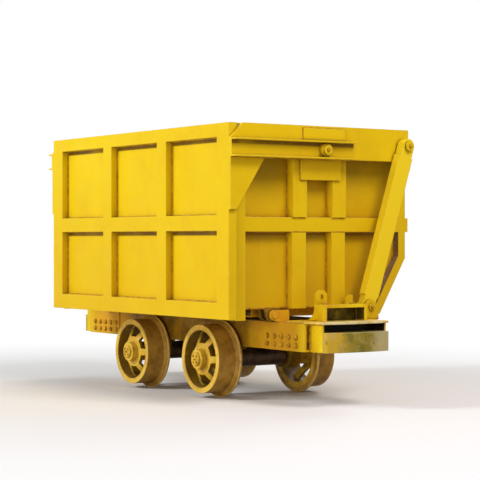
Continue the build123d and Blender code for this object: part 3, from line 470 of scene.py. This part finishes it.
def pocket_paint(name):
    """Coupler pocket: yellow outside, oily and dark with painted shade inside, where the link and pin work."""
    oily = rgb(50, 36, 14)
    g = Graph(name)
    cloud = g.ramp(g.noise(7.0, 6.0, 0.62, offset=3.1), 0.40, 0.72)
    base = g.mix(cloud, YELLOW_SUN, YELLOW_DEEP)
    # Painted shade with oil inside the pocket, under its roof
    inner = g.times(g.ramp(g.axes["Z"], POCKET_ROOF_Z + 0.002, POCKET_ROOF_Z),
                    g.ramp(g.away("Y"), POCKET_INNER_Y + 0.003, POCKET_INNER_Y + 0.001))
    base = g.mix(g.times(inner, g.ramp(g.noise(12.0, 6.0, 0.65), 0.25, 0.6, 0.7, 0.95)), base, oily)
    edge, rounded = g.edges(EDGE_WEAR)
    # Pale edges: rubbed wear and painted highlight
    rub = g.ramp(g.noise(30.0, 6.0, 0.7), 0.32, 0.55)
    base = g.mix(g.times(edge, rub, 0.8), base, YELLOW_RUB_AND_HIGHLIGHT)
    chip = g.times(edge, g.ramp(g.noise(52.0, 8.0, 0.75, offset=9.0), 0.54, 0.62), 0.6)
    base = g.mix(chip, base, RUST)
    grain = g.bump(g.noise(120.0, 5.0, 0.7), 0.0008, 0.5, rounded)
    return g.surface(base, 0.5, grain, specular=0.14)


def cast_paint(name):
    """Cast wheel: yellow left on hub and spokes, dark brown painted shade on the dish's walls, brown tread, rim,
    hub and flange paler with rubbed wear and painted highlight.
    """
    dull, fresh, rim_face_rub_and_highlight = rgb(224, 176, 44), rgb(244, 206, 66), rgb(240, 202, 92)
    mud_brown, corner, dish = rgb(132, 92, 30), rgb(70, 46, 18), rgb(78, 50, 18)
    tread_dark, tread_light = rgb(152, 112, 40), rgb(196, 152, 64)
    rim_rub_and_highlight, hub_rub_and_highlight = rgb(240, 206, 116), rgb(238, 200, 80)
    g = Graph(name)
    tone = g.ramp(g.noise(9.0, 6.0, 0.65), 0.32, 0.68)
    base = g.mix(tone, dull, fresh)
    mud = g.ramp(g.noise(15.0, 7.0, 0.7, offset=3.0), 0.44, 0.66)
    base = g.mix(g.times(mud, 0.55), base, mud_brown)
    # Grime and painted shade in the wheel's corners
    base = g.mix(g.times(g.ramp(g.open_air(WHEEL_SHADE_AND_GRIME), 0.80, 0.25), 0.85), base, corner)
    side = g.away("Y")
    radius = g.length(g.math("SUBTRACT", g.away("X"), AXLE_X), g.math("SUBTRACT", g.axes["Z"], AXLE_Z))
    # Painted shade: the dish's walls between hub and rim go dark brown
    barrel = g.times(g.ramp(g.math("ABSOLUTE", g.facing["Y"]), 0.8, 0.3),
                     g.ramp(radius, DISH_RADIUS + 0.006, DISH_RADIUS),
                     g.ramp(radius, HUB_RADIUS, HUB_RADIUS + 0.015))
    base = g.mix(g.times(barrel, 0.72), base, dish)
    # Rim face paler: rubbed wear and painted highlight
    face = g.times(g.ramp(radius, DISH_RADIUS, DISH_RADIUS + 0.004),
                   g.ramp(side, TREAD_SIDE_Y - 0.004, TREAD_SIDE_Y))
    base = g.mix(g.times(face, 0.45), base, rim_face_rub_and_highlight)
    tread = g.times(g.ramp(radius, TREAD_RADIUS, TREAD_RADIUS + 0.003),
                    g.ramp(side, TREAD_SIDE_Y, TREAD_SIDE_Y - 0.003))
    rolled = g.mix(g.ramp(g.noise(11.0, 6.0, 0.65, offset=5.0), 0.35, 0.65), tread_dark, tread_light)
    base = g.mix(tread, base, rolled)
    edge, rounded = g.edges(HEAVY_EDGE_WEAR)
    # Rim edges and flange paler: rubbed wear and painted highlight
    rim = g.math("MAXIMUM", g.times(edge, g.ramp(radius, RIM_RADIUS, RIM_RADIUS + 0.01)),
                 g.ramp(radius, FLANGE_RADIUS, FLANGE_RADIUS + 0.003))
    base = g.mix(g.times(rim, g.ramp(g.noise(26.0, 5.0, 0.6), 0.30, 0.5)), base, rim_rub_and_highlight)
    # Hub and spoke edges paler: rubbed wear and painted highlight
    base = g.mix(g.times(edge, g.ramp(radius, RIM_RADIUS, RIM_RADIUS - 0.01), 0.5), base, hub_rub_and_highlight)
    grain = g.bump(g.noise(85.0, 6.0, 0.7), 0.0016, 0.6, rounded)
    return g.surface(base, g.ramp(mud, 0.0, 1.0, 0.45, 0.75), grain, specular=0.3)


def rolled_steel(name):
    """Roller steel, browned and rubbed."""
    brown, grey, rubbed = rgb(112, 86, 54), rgb(150, 124, 88), rgb(196, 178, 140)
    g = Graph(name)
    band = g.ramp(g.noise(9.0, 5.0, 0.6), 0.35, 0.65)
    base = g.mix(band, brown, grey)
    edge, rounded = g.edges(EDGE_WEAR)
    base = g.mix(g.times(edge, 0.7), base, rubbed)
    grain = g.bump(g.noise(140.0, 4.0, 0.6), 0.0006, 0.5, rounded)
    return g.surface(base, g.ramp(band, 0.0, 1.0, 0.36, 0.5), grain, metallic=0.7)


def greasy_steel(name):
    """Dark oily steel of the axles."""
    dark, brown, rubbed = rgb(58, 42, 30), rgb(98, 74, 52), rgb(170, 148, 112)
    g = Graph(name)
    tone = g.ramp(g.noise(18.0, 5.0, 0.6), 0.35, 0.7)
    base = g.mix(tone, dark, brown)
    edge, rounded = g.edges(LIGHT_EDGE_WEAR)
    base = g.mix(g.times(edge, 0.5), base, rubbed)
    grain = g.bump(g.noise(180.0, 4.0, 0.6), 0.0005, 0.5, rounded)
    return g.surface(base, g.ramp(tone, 0.0, 1.0, 0.40, 0.6), grain, metallic=0.5)


def buffer_steel(name):
    """Battered buffer: yellow left towards the door, olive in the middle, bare pale steel beyond."""
    khaki_dark, khaki, moss = rgb(118, 108, 28), rgb(150, 132, 36), rgb(96, 102, 36)
    worn_yellow, pale_steel = rgb(212, 174, 46), rgb(192, 178, 124)
    dark_spot, rubbed = rgb(66, 56, 22), rgb(226, 214, 168)
    g = Graph(name)
    blot = g.ramp(g.noise(10.0, 7.0, 0.7), 0.38, 0.60)
    base = g.mix(blot, khaki_dark, khaki)
    olive = g.ramp(g.noise(17.0, 7.0, 0.7, offset=9.0), 0.48, 0.62)
    base = g.mix(g.times(olive, 0.5), base, moss)
    wander = g.math("ADD", g.axes["Y"], g.times(g.noise(9.0, 5.0, 0.65, offset=3.0), 0.20))
    base = g.mix(g.times(g.ramp(wander, 0.04, -0.06), 0.85), base, worn_yellow)
    bare = g.ramp(g.noise(13.0, 8.0, 0.72, offset=4.0), 0.50, 0.62)
    bare = g.math("MAXIMUM", g.times(bare, 0.35), g.ramp(wander, 0.13, 0.25, 0.0, 0.85))
    base = g.mix(bare, base, pale_steel)
    dark = g.ramp(g.noise(21.0, 7.0, 0.72, offset=6.0), 0.58, 0.70)
    base = g.mix(g.times(dark, 0.6), base, dark_spot)
    edge, rounded = g.edges(HEAVY_EDGE_WEAR)
    base = g.mix(g.times(edge, 0.8), base, rubbed)
    dent = g.bump(g.noise(26.0, 6.0, 0.7), 0.004, 0.6, rounded)
    return g.surface(base, g.ramp(bare, 0.0, 1.0, 0.62, 0.42), dent, metallic=0.15)


def weld_metal(name):
    """Weld bead painted over, a deeper yellow than the plate that lays painted shade along the seams, brown where
    the paint has let go.
    """
    light, dark = rgb(206, 156, 24), rgb(150, 104, 22)
    g = Graph(name)
    tone = g.ramp(g.noise(26.0, 5.0, 0.6), 0.38, 0.66)
    base = g.mix(tone, light, dark)
    bare = g.ramp(g.noise(40.0, 6.0, 0.7, offset=5.0), 0.60, 0.68)
    base = g.mix(bare, base, RUST)
    ripple = g.bump(g.noise(420.0, 2.0, 0.5), 0.0005, 0.5)
    return g.surface(base, g.ramp(tone, 0.0, 1.0, 0.45, 0.65), ripple, specular=0.2)


def bolt_paint(name):
    """Painted bolt heads with rubbed corners, rusty round their seats."""
    light, dark, rubbed, rusty = rgb(228, 182, 30), rgb(184, 126, 28), rgb(244, 214, 110), rgb(84, 48, 20)
    g = Graph(name)
    tone = g.ramp(g.noise(34.0, 5.0, 0.6), 0.38, 0.62)
    base = g.mix(tone, light, dark)
    edge, rounded = g.edges(BOLT_EDGE_WEAR)
    base = g.mix(g.times(edge, g.ramp(g.noise(60.0, 5.0, 0.7), 0.42, 0.56)), base, rubbed)
    seat = g.ramp(g.open_air(BOLT_DIRT), 0.85, 0.40)
    base = g.mix(g.times(seat, 0.85), base, rusty)
    grain = g.bump(g.noise(300.0, 3.0, 0.6), 0.0003, 0.5, rounded)
    return g.surface(base, 0.5, grain, specular=0.2)


def seeing_rays(tree):
    """1 for the rays that see the background: the camera's, and those off or through a surface."""
    path = tree.nodes.new("ShaderNodeLightPath")
    seen = path.outputs["Is Camera Ray"]
    for kind in ("Is Glossy Ray", "Is Transmission Ray"):
        either = tree.nodes.new("ShaderNodeMath")
        either.operation = "MAXIMUM"
        tree.links.new(seen, either.inputs[0])
        tree.links.new(path.outputs[kind], either.inputs[1])
        seen = either.outputs["Value"]
    return seen


def mix_shaders(tree, factor, first, second):
    """Shader that goes from the first to the second as the factor rises."""
    node = tree.nodes.new("ShaderNodeMixShader")
    tree.links.new(factor, node.inputs["Fac"])
    tree.links.new(first, node.inputs[1])
    tree.links.new(second, node.inputs[2])
    return node.outputs["Shader"]


def floor_material(name):
    """Pale floor with the car's shadow; to the rays that see it, it fades to white away from the car."""
    g = Graph(name)
    g.surface(rgb(240, 240, 240), 0.9, specular=0.0)
    white = g.tree.nodes.new("ShaderNodeEmission")
    dim = g.tree.nodes.new("ShaderNodeBsdfDiffuse")
    dim.inputs["Color"].default_value = FLOOR_BOUNCE
    fade = g.ramp(g.length(g.axes["X"], g.axes["Y"]), *FLOOR_FADE)
    shown = mix_shaders(g.tree, fade, g.shader.outputs["BSDF"], white.outputs["Emission"])
    surface = mix_shaders(g.tree, seeing_rays(g.tree), dim.outputs["BSDF"], shown)
    g.link(surface, g.tree.nodes["Material Output"].inputs["Surface"])
    return g.material


MATERIALS = {
    # End walls: warm painted shade on the recessed sheets, and painted shadow below the lever and the mid rail
    "end": paint("yellow_paint_end", wear=0.55, dirt=0.6, inside="X", sheet=("X", END_SHEET_X, 0.24),
                 shadow_ledges=((CHANNEL_Z[0], 0.24, 0.44, 0.2), (MID_RAIL[0], 0.075, 0.50, 0.2),
                         (MID_RAIL[0], 0.024, 0.55, 0.7))),
    "side": paint("yellow_paint_side", wear=0.55, dirt=0.6, inside="Y"),
    "tub": paint("yellow_paint_tub", wear=0.55, dirt=0.6),
    "floor": paint("tub_floor_plate", wear=0.7, dirt=1.0, inside="Z"),
    # Door: painted shadow below the rail over each recess
    "door": paint("yellow_paint_door", wear=0.35, dirt=0.25, inside="Y", sheet=("Y", -DOOR_SHEET_Y, 0.0),
                  shadow_ledges=[(top, 0.028, 0.9, 0.75) for bottom, top in DOOR_ROWS]),
    # Lever: painted shadow below the channel's upper flange
    "lever": paint("yellow_paint_lever", wear=0.5, dirt=0.25, sheet=("X", CHANNEL_WEB_X, 0.0),
                   shadow_ledges=((CHANNEL_Z[1] - CHANNEL_WALL, 0.028, 0.92, 0.6),)),
    "gear": paint("yellow_paint_gear", wear=0.5, dirt=0.2),
    # Link: lightened with painted light
    "link": paint("yellow_paint_link", wear=0.5, dirt=0.1, pale=0.85),
    # Frame: grime and painted shade under the tub. Hinges: painted shadow inboard of their outer ends
    "frame": paint("yellow_paint_frame", wear=0.7, dirt=0.4, under=(0.85, 0.84, 0.56)),
    "hinge": paint("yellow_paint_hinge", wear=0.7, dirt=0.6, under=(0.95, 0.952, 0.940)),
    "housing": housing_paint("yellow_paint_housing"),
    "pocket": pocket_paint("yellow_paint_pocket"),
    "deck": deck_paint("yellow_paint_deck"),
    "cast": cast_paint("cast_paint"),
    "roller": rolled_steel("rolled_steel"),
    "grease": greasy_steel("greasy_steel"),
    "buffer": buffer_steel("buffer_steel"),
    "weld": weld_metal("weld_metal"),
    "bolt": bolt_paint("bolt_paint"),
}
FINISHES = [
    # start of the node's name, finish
    ("wheel_", "cast"),
    ("axle_box", "frame"),
    ("axle_", "grease"),
    ("buffer_pad", "buffer"),
    ("bumper_housing", "housing"),
    ("dump_roller", "roller"),
    ("door_panel", "door"),
    ("door_lever", "lever"),
    ("link_bracket", "gear"),
    ("link_", "link"),
    ("chain_lug", "gear"),
    ("coupler_pocket", "pocket"),
    ("deck", "deck"),
    ("end_wall", "end"),
    ("side_wall", "side"),
    ("tub_floor", "floor"),
    ("floor_bearers", "frame"),
    ("tub_ears", "hinge"),
    ("hinge_bracket", "hinge"),
]


def node_finish(name):
    """Which finish a node of the frame takes."""
    for start, finish in FINISHES:
        if name.startswith(start):
            return finish
    return "frame" if BODY_OF[name] == "chassis" else "tub"


def dress_nodes():
    """Gives every node of the frame its finish."""
    for name, node in NODES.items():
        material = MATERIALS[node_finish(name)]
        if not node.material_slots:
            node.data.materials.append(material)
        for slot in node.material_slots:
            slot.material = material


class Kit:
    """Small pieces of one finish on one body, gathered into one mesh."""

    def __init__(self, name, body, finish, slot="safety_paint"):
        self.name = name
        self.body = body
        self.finish = finish
        self.slot = slot
        self.mesh = bmesh.new()

    def turned(self, profile, place, sides):
        """Closed shape turned about a frame's Z; the profile is (radius, height), from axis to axis."""
        rings = []
        for radius, height in profile:
            angles = [0.0] if radius == 0 else circle(sides)
            spots = [Vector((radius * math.cos(a), radius * math.sin(a), height)) for a in angles]
            rings.append([self.mesh.verts.new(place @ spot) for spot in spots])
        self.skin(rings, sides)

    def skin(self, rings, sides):
        """Faces between rings of points, where a ring of one point is a tip."""
        for low, high in zip(rings, rings[1:]):
            for index in range(sides):
                following = (index + 1) % sides
                corners = [low[index % len(low)], low[following % len(low)],
                           high[following % len(high)], high[index % len(high)]]
                self.mesh.faces.new(list(dict.fromkeys(corners)))

    def bead(self, start, end, size=BEAD):
        """Rippled weld bead along the line between two points."""
        start, end = Vector(start), Vector(end)
        steps = max(2, 2 * round((end - start).length / BEAD_PITCH))
        turn = (end - start).to_track_quat("Z", "Y")
        rings = [[self.mesh.verts.new(start)]]
        for step in range(1, steps):
            centre = start.lerp(end, step / steps)
            swell = 1 + BEAD_WANDER * noise.noise(centre * WANDER_SCALE) + BEAD_RIPPLE[step % 2]
            rings.append([])
            for angle in circle(BEAD_SIDES):
                out = turn @ Vector((math.cos(angle), math.sin(angle), 0))
                rings[-1].append(self.mesh.verts.new(centre + out * size * swell))
        rings.append([self.mesh.verts.new(end)])
        self.skin(rings, BEAD_SIDES)

    def seam(self, points, closed=False):
        """Beads along the lines through a list of points."""
        for start, end in zip(points, points[1:] + points[:1] if closed else points[1:]):
            self.bead(start, end)

    def ring_seam(self, centre, radius, axis, sides=20):
        """Bead round a boss; the axis is the boss's direction."""
        place = facing(centre, axis)
        spots = [Vector((radius * math.cos(a), radius * math.sin(a), 0)) for a in circle(sides)]
        self.seam([place @ spot for spot in spots], closed=True)

    def bolt(self, point, direction, size, spin=0.0, stud=False):
        """Hexagon head on a washer, or with stud a nut with the bolt's end standing out of it."""
        place = facing(point, direction, spin)
        washer, head = 0.17 * size, 0.80 * size
        disc = [(0, -0.001), (0.95 * size, -0.001), (0.95 * size, washer), (0, washer)]
        self.turned(disc, place, sides=18)
        hexagon = [(0, washer), (0.87 * size, washer), (0.87 * size, 0.9 * head),
                   (0.76 * size, head), (0, head)]
        self.turned(hexagon, place, sides=6)
        if stud:
            tip = head + 0.35 * size
            shank = [(0, head), (0.5 * size, head), (0.5 * size, tip - 0.08 * size),
                     (0.42 * size, tip), (0, tip)]
            self.turned(shank, place, sides=12)

    def done(self):
        """Makes the mesh a piece that rides on its body."""
        bmesh.ops.recalc_face_normals(self.mesh, faces=self.mesh.faces)
        data = bpy.data.meshes.new(self.name)
        self.mesh.to_mesh(data)
        self.mesh.free()
        data.shade_smooth()
        data.set_sharp_from_angle(angle=SHARP_ANGLE)
        data.materials.append(MATERIALS[self.finish])
        piece = bpy.data.objects.new(self.name, data)
        bpy.context.scene.collection.objects.link(piece)
        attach(piece, self.body)


def circle(sides):
    """Evenly spaced angles of one turn."""
    return [2 * math.pi * index / sides for index in range(sides)]


def facing(point, direction, spin=0.0):
    """Frame at a point with its Z along a direction."""
    turn = Vector(direction).to_track_quat("Z", "Y").to_matrix().to_4x4()
    return Matrix.Translation(point) @ turn @ Matrix.Rotation(spin, 4, "Z")


def outer_x(box):
    """How far out along X a box reaches, at either end of the car."""
    return max(abs(corner[0]) for corner in box)


def door_welds():
    """Beads round the door's six recesses and along the levers' channels, gussets and doublers."""
    kit = Kit("door_welds", "door", "weld", "door_paint")
    low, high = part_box("door_panel")
    bay = (high[0] - low[0] - 2 * DOOR_POST - (DOOR_BAYS - 1) * DOOR_RIB) / DOOR_BAYS
    for z0, z1 in DOOR_ROWS:
        for column in range(DOOR_BAYS):
            x0 = low[0] + DOOR_POST + column * (bay + DOOR_RIB)
            corners = ((x0, z0), (x0 + bay, z0), (x0 + bay, z1), (x0, z1))
            kit.seam([(x, DOOR_SHEET_Y, z) for x, z in corners], closed=True)
    for end in ENDS:
        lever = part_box("door_lever_front" if end > 0 else "door_lever_rear")
        face, root, z0, z1 = end * LEVER_FACE, lever[0][1] + CHANNEL_ROOT_INSET, *CHANNEL_Z
        kit.seam([(face, root, z1), (face, CHANNEL_TIP_Y, z1), (face, CHANNEL_TIP_Y, z0), (face, root, z0)])
        kit.seam([(face, -DOUBLER_HALF, DOUBLER_FOOT_Z), (face, -DOUBLER_HALF, DOUBLER_TOP_Z),
                  (face, DOUBLER_HALF, DOUBLER_TOP_Z), (face, DOUBLER_HALF, DOUBLER_FOOT_Z)])
        kit.bead((end * GUSSET_X, GUSSET_Y, GUSSET_FOOT_Z), (end * GUSSET_X, GUSSET_Y, z1))
        kit.ring_seam((end * CHANNEL_WEB_X, *PIVOT), BOSS_RADIUS, (end, 0, 0))
        kit.ring_seam((face, *LINK_PIN), PIN_RADIUS, (end, 0, 0), sides=14)
    kit.done()


def tub_welds():
    """Beads in the corners of the end panels, at the rails, round the pivot boxes and the side's ribs."""
    kit = Kit("tub_welds", "tub", "weld")
    spans = [END_POST_Y, *(y for rib in END_RIBS for y in rib), SIDE_SHEET_Y]
    for end in ENDS:
        sheet, face, rib = end * END_SHEET_X, end * END_FACE_X, end * UPPER_RIB_X
        for y0, y1 in zip(spans[0::2], spans[1::2]):
            for z0, z1 in ((FLOOR_SEAM_Z, MID_RAIL[0]), (MID_RAIL[1], TOP_RAIL_Z)):
                slanted = z0 < MID_RAIL[0] and y1 == SIDE_SHEET_Y
                foot = SLOPE_FOOT_Y if slanted else y1
                kit.bead((sheet, y0, z0), (sheet, foot, z0))
                kit.seam([(sheet, y1, z1), (sheet, y0, z1), (sheet, y0, z0)])
                kit.bead((sheet, y1, SLOPE_KNEE_Z if slanted else z0), (sheet, y1, z1))
                if slanted:
                    kit.bead((sheet, foot, z0), (sheet, y1, SLOPE_KNEE_Z))
        for y0, y1 in END_RIBS:
            kit.bead((face, y0, MID_RAIL[1]), (face, y1, MID_RAIL[1]), HEAVY_BEAD)
            kit.bead((face, y0, MID_RAIL[0]), (face, y1, MID_RAIL[0]), LIGHT_BEAD)
        low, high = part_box("pivot_box_front" if end > 0 else "pivot_box_rear")
        kit.seam([(rib, low[1], PIVOT_BOX_SEAM_Z), (rib, low[1], low[2]), (rib, END_RIBS[0][1], low[2])])
        kit.seam([(rib, END_RIBS[1][0], low[2]), (rib, high[1], low[2]), (rib, high[1], PIVOT_BOX_SEAM_Z)])
    for x in SIDE_RIBS_X:
        for side in (-SIDE_RIB_HALF, SIDE_RIB_HALF):
            kit.seam([(x + side, SIDE_SHEET_Y, TOP_RAIL_Z), (x + side, SIDE_SHEET_Y, SIDE_RIB_KNEE_Z),
                      (x + side, *SIDE_RIB_FOOT)])
    kit.done()


def chassis_welds():
    """Beads on the deck's fittings, the side plates, the housings and the hinge brackets."""
    kit = Kit("chassis_welds", "chassis", "weld")
    deck_bottom, deck_top = [corner[2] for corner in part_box("deck_front")]
    sill_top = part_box("sill_door_side")[1][2]
    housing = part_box("bumper_housing_front")
    for end in ENDS:
        for y in (-POCKET_OUTER_Y, -POCKET_INNER_Y, POCKET_INNER_Y, POCKET_OUTER_Y):
            kit.bead((end * POCKET_SEAM_X[0], y, deck_top), (end * POCKET_SEAM_X[1], y, deck_top))
        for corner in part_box("chain_lug_front"):
            face = end * corner[0]
            kit.bead((face, LUG_SEAM_Y[0], deck_top), (face, LUG_SEAM_Y[1], deck_top))
        kit.seam([(end * x, y, deck_top) for x, y in BRACKET_FOOT])
        for side in SIDES:
            plate = (end * SIDE_PLATE_X, side * SILL_FACE_Y)
            kit.bead((*plate, SIDE_PLATE_Z[0]), (*plate, SIDE_PLATE_Z[1]))
            corner = (end * housing[0][0], side * housing[1][1])
            kit.bead((*corner, HOUSING_SEAM_Z[0]), (*corner, HOUSING_SEAM_Z[1]))
            under = (side * DECK_SEAM_Y, deck_bottom)
            kit.bead((end * DECK_SEAM_X[0], *under), (end * DECK_SEAM_X[1], *under))
        for x in HINGE_SEAMS_X:
            kit.bead((end * x, HINGE_SEAM_Y[0], sill_top), (end * x, HINGE_SEAM_Y[1], sill_top))
    kit.done()


def chassis_bolts():
    """Bolts of the side plates, axle boxes and coupler pockets, and keepers in the brackets' pins."""
    kit = Kit("chassis_bolts", "chassis", "bolt")
    roof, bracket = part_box("coupler_pocket_front")[1][2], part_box("link_bracket_front")
    for end in ENDS:
        for side in SIDES:
            for column in range(SIDE_PLATE_BOLTS["columns"]):
                x = SIDE_PLATE_BOLTS["first"] + column * SIDE_PLATE_BOLTS["pitch"]
                for row, z in enumerate(SIDE_PLATE_BOLTS["rows"]):
                    kit.bolt((end * x, side * PLATE_FACE_Y, z), (0, side, 0), M16, spin=0.7 * column + row)
            for reach in AXLE_BOX_BOLTS["reach"]:
                foot = (end * (AXLE_X + reach), side * AXLE_BOX_BOLTS["y"])
                kit.bolt((*foot, AXLE_BOX_BOLTS["below"]), (0, 0, -1), M16, spin=reach * 9)
                kit.bolt((*foot, AXLE_BOX_BOLTS["above"]), (0, 0, 1), M16, spin=reach * 5, stud=True)
        kit.bolt((end * outer_x(bracket), *FRAME_PIN), (end, 0, 0), M12, spin=0.4)
        for y in POCKET_BOLTS_Y:
            kit.bolt((end * POCKET_BOLT_X, y, roof), (0, 0, 1), M16, spin=y * 8)
    kit.done()


def pin_bolts():
    """Keeper bolts in the ends of the door's pivot pins, the link pins and the roller's pin."""
    door = Kit("link_pin_bolts", "door", "bolt", "door_paint")
    tub = Kit("tub_pin_bolts", "tub", "bolt")
    for end in ENDS:
        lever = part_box("door_lever_front" if end > 0 else "door_lever_rear")
        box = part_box("pivot_box_front" if end > 0 else "pivot_box_rear")
        door.bolt((end * outer_x(lever), *LINK_PIN), (end, 0, 0), M12, spin=0.3)
        tub.bolt((end * outer_x(box), *PIVOT), (end, 0, 0), M12, spin=0.9)
    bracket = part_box("roller_bracket")
    for turn in range(3):
        angle = math.radians(90 + 120 * turn)
        spot = (ROLLER_BOLT_CIRCLE * math.cos(angle), bracket[1][1],
                ROLLER_PIN_Z + ROLLER_BOLT_CIRCLE * math.sin(angle))
        tub.bolt(spot, (0, 1, 0), M12 * 0.8, spin=turn)
    door.done()
    tub.done()


def wheel_bolts():
    """Four cap bolts and a grease nipple on each hub."""
    for end, name in ((1, "front"), (-1, "rear")):
        kit = Kit(f"hub_bolts_{name}", f"wheelset_{name}", "bolt", "wheel_paint")
        for side in SIDES:
            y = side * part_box(f"wheel_slope_side_{name}")[1][1]
            for turn in range(4):
                angle = math.radians(45 + 90 * turn)
                spot = (end * AXLE_X + HUB_BOLT_CIRCLE * math.cos(angle), y,
                        AXLE_Z + HUB_BOLT_CIRCLE * math.sin(angle))
                kit.bolt(spot, (0, side, 0), HUB_BOLT, spin=turn)
            kit.turned(NIPPLE, facing((end * AXLE_X, y, AXLE_Z), (0, side, 0)), 12)
        kit.done()


def aim_camera():
    """Level camera at the photo's viewpoint, long enough to fill the frame."""
    camera = bpy.data.objects.new("camera", bpy.data.cameras.new("camera"))
    bpy.context.scene.collection.objects.link(camera)
    bpy.context.scene.camera = camera
    bearings = [math.atan2(y - CAMERA.y, CAMERA.x - x)
                for x in (CAD_BOX[0][0], CAD_BOX[1][0]) for y in (CAD_BOX[0][1], CAD_BOX[1][1])]
    middle = (max(bearings) + min(bearings)) / 2
    half = (max(bearings) - min(bearings)) / 2
    camera.location = CAMERA
    camera.rotation_euler = (math.pi / 2, 0, math.pi / 2 - middle)
    camera.data.sensor_width = SENSOR
    camera.data.lens = FILL * SENSOR / (2 * math.tan(half))


def area_light(name, place, target, size, power, colour):
    """Rectangular light at a place, turned to its target."""
    light = bpy.data.lights.new(name, "AREA")
    light.shape = "RECTANGLE"
    light.size, light.size_y = size
    light.energy = power
    light.color = colour
    holder = bpy.data.objects.new(name, light)
    holder.location = place
    holder.rotation_euler = (Vector(target) - Vector(place)).to_track_quat("-Z", "Y").to_euler()
    bpy.context.scene.collection.objects.link(holder)


def background(tree, colour, strength):
    """Even light from all round."""
    node = tree.nodes.new("ShaderNodeBackground")
    node.inputs["Color"].default_value = colour
    node.inputs["Strength"].default_value = strength
    return node.outputs["Background"]


def light_scene():
    """Soft studio light, strongest and high on the door side, with a surround that shows white."""
    for name, settings in LIGHTS.items():
        area_light(name, *settings)
    world = bpy.data.worlds.new("studio")
    bpy.context.scene.world = world
    world.use_nodes = True
    tree = world.node_tree
    tree.nodes.clear()
    output = tree.nodes.new("ShaderNodeOutputWorld")
    soft = background(tree, SKY, SKY_STRENGTH)
    shown = mix_shaders(tree, seeing_rays(tree), soft, background(tree, WHITE, 1.0))
    tree.links.new(shown, output.inputs["Surface"])


def lay_floor():
    """Pale floor under the wheels."""
    mesh = bpy.data.meshes.new("floor")
    corners = [(x * FLOOR_HALF, y * FLOOR_HALF, 0) for x, y in ((-1, -1), (1, -1), (1, 1), (-1, 1))]
    mesh.from_pydata(corners, [], [(0, 1, 2, 3)])
    floor = bpy.data.objects.new("floor", mesh)
    floor.data.materials.append(floor_material("pale_floor"))
    bpy.context.scene.collection.objects.link(floor)


dress_nodes()
door_welds()
tub_welds()
chassis_welds()
chassis_bolts()
pin_bolts()
wheel_bolts()
aim_camera()
light_scene()
lay_floor()

bpy.context.scene.view_settings.view_transform = "Standard"
